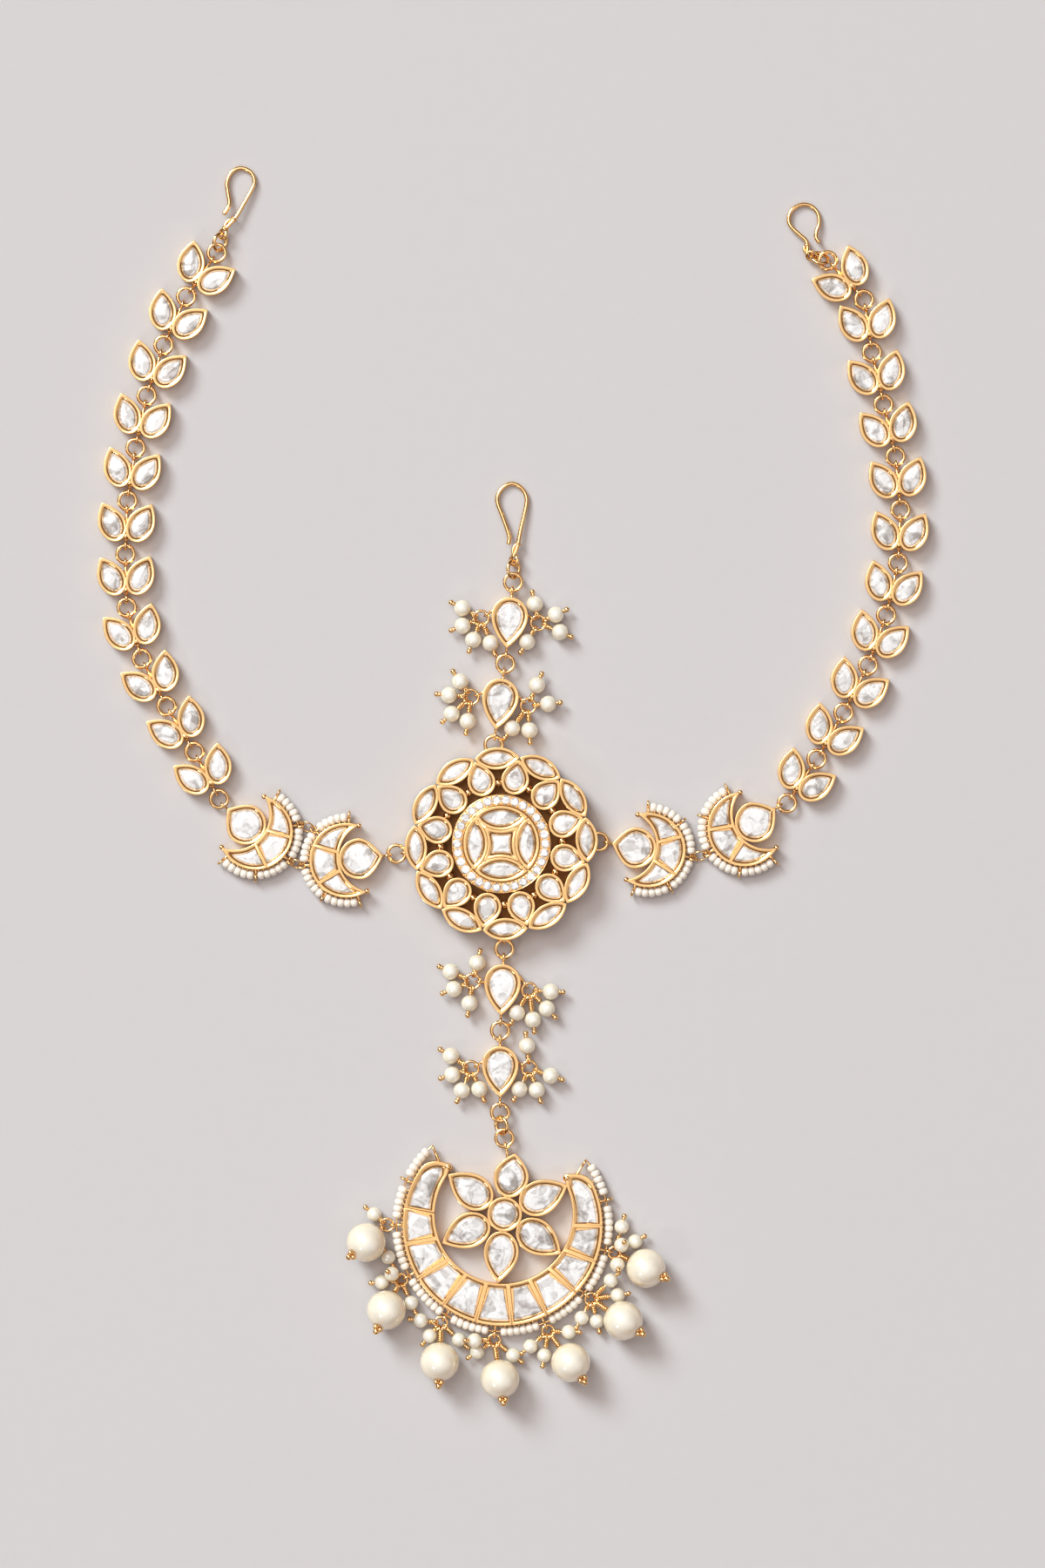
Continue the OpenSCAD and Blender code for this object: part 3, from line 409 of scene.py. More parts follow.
def horn_cell(side):
    """An end cell of the large crescent: past the last eye its outer side bends in to a blunt end."""
    def shape(inset):
        low = LARGE_CRESCENT[3]
        outer, inner = bar_corners(LARGE_CRESCENT, bar_turn(BARS - 1), 1, inset)
        bend = ray(31 - 4.5 * inset, PENDANT_R - inset)
        knee = Vector((15.9 - 0.5 * inset, 12.6 - 1.6 * inset))
        end = Vector((11.65 + 1.7 * inset, 11.5 - inset))
        sweep = [bend.lerp(knee, i / 6).lerp(knee.lerp(end, i / 6), i / 6) for i in range(1, 7)]
        start = Vector((math.sqrt((PENDANT_INNER_R + inset) ** 2 - (HORN_END - low.y) ** 2), HORN_END))
        points = arc(ORIGIN, outer, bend, 12) + sweep + arc(low, start, inner, 11)
        return points if side > 0 else mirrored(points, "X")
    return shape


def on_crescent_bar(p):
    """True on the bars between the cells of the large crescent."""
    turn = ((heading(p) - 270) / BAR_STEP + (BARS - 1) / 2) % (360 / BAR_STEP)
    return abs(turn - round(turn)) < 0.035 and round(turn) < BARS


# Finishes

class Socket:
    """A value in a tree of nodes that can be used in sums."""

    def __init__(self, nodes, socket):
        self.nodes = nodes
        self.socket = socket

    def _sum(self, operation, a, b):
        return self.nodes.node("ShaderNodeMath", {0: a, 1: b}, operation=operation)

    def __add__(self, other):
        return self._sum("ADD", self, other)

    __radd__ = __add__

    def __mul__(self, other):
        return self._sum("MULTIPLY", self, other)

    __rmul__ = __mul__

    def __sub__(self, other):
        return self._sum("SUBTRACT", self, other)

    def __rsub__(self, other):
        return self._sum("SUBTRACT", other, self)


class Nodes:
    """The nodes of a material or of the room's light."""

    def __init__(self, owner):
        owner.use_nodes = True
        self.tree = owner.node_tree

    def node(self, kind, sockets=None, out=0, stops=(), **settings):
        """Adds a node: its settings first, then the values or links of its sockets."""
        made = self.tree.nodes.new(kind)
        for key, value in settings.items():
            setattr(made, key, value)
        for i, (place, colour) in enumerate(stops):
            made.color_ramp.elements[i].position = place
            made.color_ramp.elements[i].color = colour
        for key, value in (sockets or {}).items():
            self.link(value, made.inputs[key])
        return Socket(self, made.outputs[out])

    def link(self, value, target):
        if isinstance(value, Socket):
            self.tree.links.new(value.socket, target)
        else:
            target.default_value = value


class Finish(Nodes):
    """A material on one Principled shader, with the values that are the same all over it."""

    def __init__(self, name, **fixed):
        self.material = bpy.data.materials.new(name)
        super().__init__(self.material)
        self.shader = self.tree.nodes["Principled BSDF"]
        for socket, value in fixed.items():
            self.set(socket.replace("_", " "), value)

    def set(self, name, value):
        self.link(value, self.shader.inputs[name])

    def place(self):
        return self.node("ShaderNodeTexCoord", out=3)

    def noise(self, scale, detail, distortion=0.0):
        return self.node("ShaderNodeTexNoise", {
            "Vector": self.place(), "Scale": scale, "Detail": detail, "Distortion": distortion})

    def facets(self, scale, out):
        """Voronoi cells: their distance (0) or one random value for each (1)."""
        cells = self.node("ShaderNodeTexVoronoi", {"Vector": self.place(), "Scale": scale}, out)
        return self.node("ShaderNodeSeparateColor", {"Color": cells}) if out else cells

    def spread(self, value, low, high, to_low=0.0, to_high=1.0):
        return self.node("ShaderNodeMapRange", {
            "Value": value, "From Min": low, "From Max": high, "To Min": to_low, "To Max": to_high})

    def mix(self, factor, first, second):
        """Mixes two colours, each of them three numbers or a socket."""
        first, second = (c if isinstance(c, Socket) else solid(c) for c in (first, second))
        return self.node("ShaderNodeMix", {0: factor, 6: first, 7: second}, 2, data_type="RGBA")

    def bump(self, height, distance, strength=1.0):
        self.set("Normal", self.node("ShaderNodeBump", {
            "Height": height, "Distance": distance * MM, "Strength": strength}))


def solid(colour):
    return (*colour, 1.0)


def shade(colour, *factors):
    """A colour times one factor, or times one for each of its parts."""
    return tuple(c * factor for c, factor in zip(colour, factors * 3))


def polished_gold(name, colour, rough=0.13, ripple=0.012):
    """Polished plating: a slightly rippled cast surface with faint rubbed and tarnished patches."""
    gold = Finish(name, Metallic=1.0)
    tint = gold.mix(gold.spread(gold.noise(260, 4), 0.35, 0.7), shade(colour, 0.9), colour)
    pits = gold.spread(gold.noise(1400, 3), 0.62, 0.8, 0, 0.6)
    gold.set("Base Color", gold.mix(pits, tint, shade(colour, 0.86, 0.66, 0.4)))
    gold.set("Roughness", gold.spread(gold.noise(700, 3), 0.3, 0.7, rough - 0.04, rough + 0.07))
    gold.bump(gold.noise(900, 2), ripple)
    return gold.material


def painted_shade_gold(name, colour):
    """Plating deep under the cups, rough and brown: its colour is painted shade, the gold darkened to a deep
    brown with a faint grain, for the shade that falls under the cups.
    """
    shaded_plating = Finish(name, Metallic=1.0)
    grain = shaded_plating.noise(900, 5)
    # Painted shade: both tones are the gold darkened almost to black-brown.
    dark, light = shade(colour, 0.1, 0.075, 0.07), shade(colour, 0.22, 0.17, 0.15)
    shaded_plating.set("Base Color", shaded_plating.mix(shaded_plating.spread(grain, 0.3, 0.7), dark, light))
    shaded_plating.set("Roughness", shaded_plating.spread(grain, 0.3, 0.7, 0.35, 0.6))
    shaded_plating.bump(grain, 0.03)
    return shaded_plating.material


def foiled_glass(name, colour):
    """Clear glass over silver foil: white, with painted reflections: soft grey streaks and darker facet
    cells in its colour stand in for the dark facets that the cut stone mirrors; faint facets under the
    table.
    """
    glass = Finish(name, IOR=1.5, Coat_Weight=0.7, Coat_Roughness=0.04)
    streaks = glass.noise(300, 4, 1.6)
    facet = glass.facets(430, 1)
    # Painted reflection: streaks, facet cells and fine specks turn the colour towards dark grey.
    dark = (glass.spread(streaks, 0.48, 0.66, 0, 0.8) + glass.spread(facet, 0.5, 1.0, 0, 0.5)
            + glass.spread(glass.noise(1500, 2), 0.6, 0.7, 0, 0.25))
    glass.set("Base Color", glass.mix(dark, colour, (0.34, 0.31, 0.29)))
    glass.set("Metallic", glass.spread(facet, 0, 1, 0.1, 0.45))
    glass.set("Roughness", glass.spread(streaks, 0.3, 0.7, 0.12, 0.3))
    glass.bump(glass.facets(600, 0), 0.16, 0.55)
    return glass.material


def bright_glass(name, colour):
    """Small paved stones: white fire, with painted reflections: each facet cell's colour runs at random from
    white to dark grey, for the dark and bright facets that the stones mirror.
    """
    glass = Finish(name, IOR=1.52, Coat_Weight=1.0, Coat_Roughness=0.02)
    facet = glass.facets(1700, 1)
    # Painted reflection: dark and bright facets set in the colour.
    glass.set("Base Color", glass.mix(glass.spread(facet, 0.5, 1, 0, 0.6), colour, (0.33, 0.32, 0.33)))
    glass.set("Metallic", glass.spread(facet, 0, 1, 0.2, 0.6))
    glass.set("Roughness", glass.spread(facet, 0, 1, 0.05, 0.15))
    return glass.material


def pearl_lustre(name, colour):
    """Imitation pearl: creamy translucent body under a bright coat, with painted shade on its sides: the
    colour turns warmer and darker where the surface faces away from straight up.
    """
    pearl = Finish(name, Roughness=0.32, IOR=1.65, Coat_Weight=1.0, Coat_IOR=1.95, Coat_Roughness=0.07,
                   Subsurface_Weight=0.9, Subsurface_Radius=(1.0, 0.92, 0.8), Subsurface_Scale=3 * MM)
    facing = pearl.node("ShaderNodeNewGeometry", out=1)
    up = pearl.node("ShaderNodeSeparateXYZ", {"Vector": facing}, 2)
    # Painted shade: the less the surface faces up, the warmer and darker its colour; a faint random tone is
    # mixed in.
    depth = pearl.spread(up, 0.15, 1.0, 1, 0) + pearl.spread(pearl.noise(420, 4), 0.35, 0.75, 0, 0.15)
    pearl.set("Base Color", pearl.mix(depth, colour, shade(colour, 1, 0.89, 0.7)))
    pearl.bump(pearl.noise(1600, 3), 0.006)
    return pearl.material


def bead_glaze(name, colour):
    """Opaque seed beads, each a little different in tone."""
    glaze = Finish(name, Roughness=0.3, Coat_Weight=0.6, Coat_Roughness=0.15)
    tones = glaze.spread(glaze.noise(520, 2), 0.35, 0.65)
    glaze.set("Base Color", glaze.mix(tones, shade(colour, 0.86), colour))
    glaze.bump(glaze.noise(2600, 2), 0.008)
    return glaze.material


def matt_paper(name, colour):
    """The pale floor, with a very faint grain."""
    paper = Finish(name, Roughness=0.85)
    paper.set("Base Color", paper.mix(paper.noise(320, 4), shade(colour, 0.985), shade(colour, 1.01)))
    return paper.material


FINISHES = {}


def finish(name):
    """Makes each finish once, from the colours in the panel."""
    if name not in FINISHES:
        colours = bpy.context.scene.headpiece_finishes
        makers = {
            "gold": lambda: polished_gold("polished_gold", colours.gold),
            "wire": lambda: polished_gold("gold_wire", shade(colours.gold, 0.97), 0.16, 0.006),
            "painted_shade": lambda: painted_shade_gold("painted_shade_gold", colours.gold),
            "glass": lambda: foiled_glass("foiled_glass", colours.glass),
            "bright": lambda: bright_glass("bright_glass", (0.93, 0.93, 0.94)),
            "pearl": lambda: pearl_lustre("pearl_lustre", colours.pearl),
            "bead": lambda: bead_glaze("bead_glaze", colours.bead),
            "floor": lambda: matt_paper("matt_paper", bpy.context.scene.headpiece_stage.floor),
        }
        FINISHES[name] = makers[name]()
    return FINISHES[name]


# Tools for placing, copying and joining pieces

def calm():
    """Object mode, with nothing selected."""
    if bpy.context.object and bpy.context.object.mode != "OBJECT":
        bpy.ops.object.mode_set(mode="OBJECT")
    bpy.ops.object.select_all(action="DESELECT")


def turned(axis, turn=90):
    return Matrix.Rotation(math.radians(turn), 4, axis)


def spot(x=0.0, y=0.0, z=0.0, turn=0.0, rise=0.0, lean=0.0):
    """A place in millimetres, turned about Z, then raised about Y, then leaning about X."""
    facing = turned("Z", turn) @ turned("Y", -rise) @ turned("X", lean)
    return Matrix.Translation(Vector((x, y, z)) * MM) @ facing


def at_point(p, z=0.0, turn=0.0, **tilt):
    return spot(p.x, p.y, z, turn, **tilt)


def at_ray(turn, reach, z=0.0, facing=0.0, **tilt):
    """A place at a reach from the origin in a direction."""
    return at_point(ray(turn, reach), z, facing, **tilt)


def rays(turns, reach, z=0.0, facing=0.0):
    """Places at a reach in several directions, each facing that much further round."""
    return [at_ray(turn, reach, z, turn + facing) for turn in turns]


def carry(piece, place):
    piece.data.transform(place)
    return piece


def paint(piece, look):
    piece.data.materials.clear()
    piece.data.materials.append(finish(look))
    return piece


def copied(pattern, place):
    """A copy of a pattern piece with its own mesh, at a place."""
    piece = pattern.copy()
    piece.data = pattern.data.copy()
    bpy.context.collection.objects.link(piece)
    return carry(piece, place)


def discard(*patterns):
    for pattern in patterns:
        bpy.data.objects.remove(pattern)


def copies(pattern, places):
    """Copies of a pattern at places; the pattern itself goes."""
    made = [copied(pattern, place) for place in places]
    discard(pattern)
    return made


def joined(pieces, name):
    calm()
    for piece in pieces:
        piece.select_set(True)
    bpy.context.view_layer.objects.active = pieces[0]
    if len(pieces) > 1:
        bpy.ops.object.join()
    piece = bpy.context.view_layer.objects.active
    piece.name = name
    piece.data.name = name
    return piece


def finished(parts, name, slot, *nodes, place=None):
    """Joins parts into one piece, at a place, and hands it over: it rides the frame and stands for its CAD
    nodes, which it hides. Its slot is not used."""
    piece = joined(parts, name)
    if place:
        carry(piece, place)
    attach(piece, "root")
    if nodes:
        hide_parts(*nodes)
    return piece


# Tools for shaping a piece by hand

def shaping():
    """The new primitive, in edit mode."""
    bpy.ops.object.mode_set(mode="EDIT")
    return bpy.context.object


def pick_faces():
    bpy.ops.mesh.select_mode(type="FACE")
    bpy.ops.mesh.select_all(action="SELECT")


def close_up(piece, smooth_angle=40):
    """Turns the faces outwards, leaves edit mode and shades the piece."""
    pick_faces()
    bpy.ops.mesh.normals_make_consistent(inside=False)
    bpy.ops.object.mode_set(mode="OBJECT")
    if smooth_angle:
        bpy.ops.object.shade_smooth_by_angle(angle=math.radians(smooth_angle))
    else:
        bpy.ops.object.shade_flat()
    return piece


def pick(piece, kind, test):
    """Selects the vertices or edges that pass a test, and nothing else."""
    bpy.ops.mesh.select_mode(type=kind)
    bpy.ops.mesh.select_all(action="DESELECT")
    mesh = bmesh.from_edit_mesh(piece.data)
    for part in mesh.verts if kind == "VERT" else mesh.edges:
        if test(part):
            part.select_set(True)
    bmesh.update_edit_mesh(piece.data)


def sharp(edge, angle=1.0):
    return len(edge.link_faces) == 2 and edge.calc_face_angle() > angle


def soften(piece, offset, test=sharp, segments=2):
    """Rounds the edges that pass a test."""
    pick(piece, "EDGE", test)
    bpy.ops.mesh.bevel(offset=offset * MM, segments=segments, affect="EDGES")


def lay_on(vertices, outline, level):
    for vertex, place in zip(vertices, outline):
        vertex.co = (place[0] * MM, place[1] * MM, level * MM)


def flat_face(outline, level):
    """One flat face with an outline, facing up, left in edit mode."""
    calm()
    bpy.ops.mesh.primitive_circle_add(vertices=len(outline), radius=MM, fill_type="NGON")
    lay_on(bpy.context.object.data.vertices, outline, level)
    piece = shaping()
    pick_faces()
    mesh = bmesh.from_edit_mesh(piece.data)
    mesh.normal_update()
    if next(iter(mesh.faces)).normal.z < 0:
        bpy.ops.mesh.flip_normals()
    return piece


def lay_face(piece, before, outline, level):
    """Extrudes the selected face and lays the new one on an outline; before is the outline it had."""
    bpy.ops.mesh.extrude_region_move()
    mesh = bmesh.from_edit_mesh(piece.data)
    face = next(face for face in mesh.faces if face.select)
    rim = [loop.vert for loop in face.loops]

    def off(vertex, place):
        return (vertex.co.xy / MM - Vector(place)).length

    first = min(range(len(rim)), key=lambda i: off(rim[i], before[0]))
    rim = rim[first:] + rim[:first]
    if off(rim[1], before[1]) > off(rim[-1], before[1]):
        rim = [rim[0]] + rim[:0:-1]
    lay_on(rim, outline, level)
    bmesh.update_edit_mesh(piece.data)


def lofted(shape, levels):
    """A closed solid that rises through outlines, each an inset and a height; left in edit mode."""
    outline = shape(levels[0][0])
    piece = flat_face(outline, levels[0][1])
    for inset, level in levels[1:]:
        before, outline = outline, shape(inset)
        lay_face(piece, before, outline, level)
    return piece


def width(name):
    """A width from the panel, in millimetres."""
    return getattr(bpy.context.scene.headpiece_sizes, name) / MM


def gold_cup(shape, low, high, wall, shared=None):
    """A stone cup: upright outside, a narrow flat rim and an inner wall that rounds down to the stone.
    Edges where shared is true lie on a bar that two cups share, and stay sharp."""
    bowl = ((0.3, 0.04), (0.55, 0.13), (0.76, 0.31), (0.9, 0.6), (1, 1))
    rim, seat = width("rim"), width("seat")
    piece = lofted(shape, [(0, low), (0, high), (rim, high)]
                   + [(rim + wall * along, high - seat * down) for along, down in bowl])

    def crease(edge):
        ends = [v.co for v in edge.verts]
        if not sharp(edge, 0.3) or any(abs(end.z - high * MM) >= 1e-6 for end in ends):
            return False
        return shared is None or not shared((ends[0] + ends[1]) / 2 / MM)

    soften(piece, width("soft"), crease)
    return paint(close_up(piece), "gold")


def faceted(piece, peak, look):
    """Gives a stone a table of flat facets that meet at its middle."""
    bpy.ops.mesh.poke(offset=peak * MM)
    return paint(close_up(piece, 0), look)


def seated_stone(shape, high, wall, peak=0.12, crown_in=0.5, sunk=0.0):
    """A stone with a short upright girdle, which bites a little into the wall of its cup, and a crown."""
    bite, below, girdle, crown = 0.08, 0.3, 0.35, 0.3
    inset = width("rim") + wall - bite
    low = high - sunk - width("seat") - below
    levels = ((inset, low), (inset, low + girdle), (inset + crown_in, low + girdle + crown))
    return faceted(lofted(shape, levels), peak, "glass")


class Setting:
    """The metal and the stones of one piece, while it is being made."""

    def __init__(self):
        self.metal, self.stones = [], []

    def cups(self, places, shapes, low, high, shared=None, wall="wall", **cut):
        """Models a cup and its stone from the outlines of both, and lays copies at the places."""
        wall = width(wall)
        self.metal += copies(gold_cup(shapes[0], low, high, wall, shared), places)
        self.stones += copies(seated_stone(shapes[1], high, wall, **cut), places)

    def patterns(self):
        return joined(self.metal, "metal_pattern"), joined(self.stones, "stone_pattern")


def hoop(r, wire, around, section):
    """A closed ring in the XY plane."""
    calm()
    bpy.ops.mesh.primitive_torus_add(major_segments=around, minor_segments=section,
                                     major_radius=r * MM, minor_radius=wire * MM)
    bpy.ops.object.shade_smooth()
    return bpy.context.object


def split_ring(r, wire, gap_turn=2.5, around=30, section=10):
    """A jump ring: round wire spun almost all the way round, with its two cut ends nearly meeting."""
    calm()
    bpy.ops.mesh.primitive_circle_add(vertices=section, radius=wire * MM, fill_type="NGON")
    carry(bpy.context.object, spot(r, lean=90))
    piece = shaping()
    pick_faces()
    bpy.ops.mesh.spin(steps=around, angle=math.radians(360 - gap_turn), center=(0, 0, 0), axis=(0, 0, 1))
    return paint(close_up(piece, 50), "wire")


def upright_eye(r, wire):
    """An eye whose plane holds X and Z."""
    return carry(hoop(r, wire, 22, 8), turned("X"))


def neck(start, end, start_r, end_r):
    """A short flared stem along X."""
    calm()
    bpy.ops.mesh.primitive_cone_add(vertices=14, radius1=start_r * MM, radius2=end_r * MM,
                                    depth=(end - start) * MM)
    piece = shaping()
    soften(piece, min(start_r, end_r) * 0.35)
    return carry(close_up(piece), spot((start + end) / 2) @ turned("Y"))


def eye_with_neck(reach, r=EYE_R, stem=0.3):
    """An upright eye at the origin with a flared neck towards +X."""
    stalk = neck(r - 0.1, reach, EYE_WIRE * 0.9, stem * 1.25)
    return paint(joined([upright_eye(r, EYE_WIRE), stalk], "eye"), "wire")


def ball(r, look="gold", segments=14, rings=9):
    """A metal ball, its axis on X, slightly flattened where it is drilled."""
    calm()
    bpy.ops.mesh.primitive_uv_sphere_add(segments=segments, ring_count=rings, radius=r * MM)
    piece = shaping()
    pick(piece, "VERT", lambda vertex: abs(vertex.co.z) > 0.995 * r * MM)
    bpy.ops.transform.resize(value=(1, 1, 0.93))
    return paint(carry(close_up(piece, 60), turned("Y")), look)


def drilled_pearl(d, bore):
    """A pearl with its bore along X, dimpled where the pin goes in."""
    calm()
    bpy.ops.mesh.primitive_uv_sphere_add(segments=32, ring_count=22, radius=d / 2 * MM)
    piece = shaping()
    for end in (-1, 1):
        pick(piece, "VERT", lambda vertex: vertex.co.xy.length < bore * MM and vertex.co.z * end > 0)
        bpy.ops.transform.translate(value=(0, 0, -end * bore * 0.8 * MM))
    return paint(carry(close_up(piece, 50), turned("Y")), "pearl")


def seed_bead(d, length):
    """A seed bead: a short cylinder along Y with well rounded edges."""
    calm()
    bpy.ops.mesh.primitive_cylinder_add(vertices=12, radius=d / 2 * MM, depth=length * MM)
    piece = shaping()
    soften(piece, length * 0.33)
    return paint(carry(close_up(piece, 60), turned("X")), "bead")


def bent_wire(points, r, section, thin_ends=0.75):
    """A round wire through points in millimetres, made a mesh."""
    calm()
    curve = bpy.data.curves.new("wire", "CURVE")
    curve.dimensions = "3D"
    curve.bevel_depth = r * MM
    curve.bevel_resolution = section
    curve.use_fill_caps = True
    spline = curve.splines.new("POLY")
    spline.points.add(len(points) - 1)
    for knot, place in zip(spline.points, points):
        knot.co = (*(c * MM for c in place), 1)
    for end in (0, -1):
        spline.points[end].radius = thin_ends
    piece = bpy.data.objects.new("wire", curve)
    bpy.context.collection.objects.link(piece)
    piece.select_set(True)
    bpy.context.view_layer.objects.active = piece
    bpy.ops.object.convert(target="MESH")
    piece = shaping()
    bpy.ops.mesh.select_all(action="SELECT")
    bpy.ops.mesh.remove_doubles(threshold=1e-7)
    return close_up(piece, 50)


def smooth_points(points, steps):
    """A smooth curve through points."""
    points = [Vector(p) for p in points]
    last = len(points) - 1
    out = []
    for i in range(last):
        a, b, c, d = (points[max(0, min(last, j))] for j in (i - 1, i, i + 1, i + 2))
        for s in range(steps):
            t = s / steps
            out.append(0.5 * (2 * b + (c - a) * t + (2 * a - 5 * b + 4 * c - d) * t * t
                              + (3 * b - a - 3 * c + d) * t ** 3))
    return out + [points[-1]]


class HEADPIECE_OT_leaf_links(bpy.types.Operator):
    """Models one paired-leaf link with its stones, and copies it along both side chains"""

    bl_idname = "headpiece.leaf_links"
    bl_label = "Leaf links"

    def execute(self, context):
        pair = Setting()
        pair.cups([spot(side * LEAF_APART, 0.5, 0, -side * LEAF_LEAN) for side in (-1, 1)],
                  leaves(*LEAF), 0, LEAF_H)
        eye_y = LEAF_PITCH / 2 - RING_R
        pair.metal += copies(eye_with_neck(eye_y - 1.0, stem=0.38),
                             [spot(0, end * eye_y, ARM_Z, -end * 90) for end in (-1, 1)])
        pair.metal.append(carry(ball(0.9), spot(0, -1.75, 1.85)))
        link, stones = pair.patterns()
        for side, (_, places) in CHAINS.items():
            glass = []
            for k, (middle, turn) in enumerate(places, 1):
                place = at_point(middle, 0, turn)
                finished([copied(link, place)], f"link_{side}_{k:02d}", "gold_plate", f"leaf_{side}_{k}")
                glass.append(copied(stones, place))
            finished(glass, f"link_stones_{side}", "foiled_glass", f"stones_{side}_arm")
        discard(link, stones)
        return {"FINISHED"}


class HEADPIECE_OT_fans(bpy.types.Operator):
    """Models one fan of a teardrop cup in a small crescent, and copies it to its four places"""

    bl_idname = "headpiece.fans"
    bl_label = "Fans"

    def execute(self, context):
        fan = Setting()
        for shape in (fan_end(-1), fan_middle, fan_end(1)):
            fan.cups([spot()], thinned(shape), 0, FAN_H, on_fan_bar, crown_in=0.35)
        fan.cups([spot(-FAN_CUP_BACK, turn=90)], leaves(*FAN_CUP), 0, FAN_H + 0.02, sunk=0.02)
        knob_x, knob_y = FAN_KNOB
        fan.metal += copies(ball(0.55), [spot(knob_x, side * knob_y, FAN_H - 0.42) for side in (-1, 1)])
        fan.metal += copies(ball(0.2, "wire", 8, 5),
                            [at_ray(turn, FAN_R + 0.12, ARM_Z + 0.7) for turn in range(-94, 95, 8)])
        fan.metal.append(carry(eye_with_neck(1.9), spot(-FAN_TIP_R, 0, ARM_Z)))
        body, stones = fan.patterns()
        eye = eye_with_neck(FAN_EYE_R - FAN_R + 0.2, SMALL_EYE_R)
        glass = []
        for name, (at, axis, _, leans) in FANS.items():
            parts = [copied(body, spot())]
            for turn, lean in zip(FAN_EYE_TURNS, leans):
                parts.append(copied(eye, at_ray(turn, FAN_EYE_R, ARM_Z, turn + 180, lean=-lean)))
            place = at_point(at, 0, axis)
            finished(parts, f"fan_metal_{name}", "gold_plate", f"fan_{name}", place=place)
            glass.append(copied(stones, place))
        finished(glass, "fan_glass", "foiled_glass", "stones_fans")
        discard(body, stones, eye)
        return {"FINISHED"}


class HEADPIECE_OT_medallion(bpy.types.Operator):
    """Models the round medallion: back, marquise and teardrop cups, raised middle and its stones"""

    bl_idname = "headpiece.medallion"
    bl_label = "Medallion"

    def execute(self, context):
        top = Setting()
        turns = [MARQUISE_TURN + 360 / PETALS * k for k in range(PETALS)]
        between = [turn + 180 / PETALS for turn in turns]
        top.cups(rays(turns, MARQUISE_R), thinned(marquise(*MARQUISE)), CUP_LOW, CUP_TOP, crown_in=0.4)
        top.cups(rays(between, TEARDROP_R, 0, -90), leaves(*TEARDROP), CUP_LOW, CUP_TOP - 0.1)
        top.cups([spot(turn=90 * k) for k in range(4)], thinned(lens), DRUM_CUP_LOW, DRUM_TOP, crown_in=0.3)
        top.cups([spot()], thinned(star), DRUM_CUP_LOW, DRUM_TOP - 0.05, crown_in=0.3)
        top.metal += copies(ball(0.8), rays(turns, BALL_REACH, CUP_TOP - 0.7, 90))
        drum = lofted(disc(DRUM_R, 64), ((0, PLATE_TOP), (0, DRUM_TOP - 1.05), (0.3, DRUM_TOP - 0.9)))
        top.metal.append(paint(close_up(drum), "gold"))
        for reach, turn, level in MEDALLION_EYES:
            eye = eye_with_neck(reach - RING_R - BASE_R + 0.6)
            top.metal.append(carry(eye, at_ray(turn, reach - RING_R, level, turn + 180)))
        centre = at_point(MEDALLION_AT)
        finished(top.metal, "medallion_cups", "gold_plate", "medallion", place=centre)
        finished(top.stones, "medallion_glass", "foiled_glass", "stones_medallion", place=centre)

        # The back under the cups is painted dark brown as shade.
        base = lofted(disc(BASE_R, 72), ((0, 0), (0, CUP_LOW + 0.1)))
        soften(base, 0.25, segments=3)
        finished([paint(close_up(base), "painted_shade")], "medallion_back", "gold_plate", place=centre)
        return {"FINISHED"}


class HEADPIECE_OT_pave_ring(bpy.types.Operator):
    """Models the paved ring: a grooved band, its small stones and the grains that hold them"""

    bl_idname = "headpiece.pave_ring"
    bl_label = "Paved ring"

    count: IntProperty(name="Stones", description="Small stones round the ring", default=30, min=24, max=34)

    def execute(self, context):
        inner, outer = PAVE_R
        middle = (inner + outer) / 2
        shoulder = PAVE_TOP - 0.35
        section = ((outer, shoulder), (inner, shoulder), (inner, 1.0), (outer, 1.0))
        band = hoop(middle, 0.5, 90, 4)
        for i, vertex in enumerate(band.data.vertices):
            r, level = section[i % 4]
            vertex.co = (*(vertex.co.xy.normalized() * r * MM), level * MM)
        shaping()
        soften(band, 0.12)
        parts = [close_up(band)]
        for r in (inner + 0.12, outer - 0.12):
            parts.append(carry(hoop(r, 0.14, 90, 6), spot(z=PAVE_TOP - 0.3)))
        step = 360 / self.count
        grains = [at_ray(step * (k + 0.5), r, PAVE_TOP - 0.16)
                  for k in range(self.count) for r in (inner + 0.42, outer - 0.42)]
        parts += copies(ball(0.17, "gold", 8, 5), grains)
        gem = lofted(disc(0.92, 8), ((0, PAVE_TOP - 0.4), (0, PAVE_TOP - 0.18), (0.24, PAVE_TOP - 0.02)))
        draw = random.Random(5)
        seats = [at_ray(step * k, middle, 0, step * k + draw.uniform(0, 45)) for k in range(self.count)]
        gems = copies(faceted(gem, 0.03, "bright"), seats)
        centre = at_point(MEDALLION_AT)
        paint(finished(parts, "pave_setting", "gold_plate", "pave_ring", place=centre), "gold")
        finished(gems, "pave_stones", "foiled_glass", place=centre)
        return {"FINISHED"}


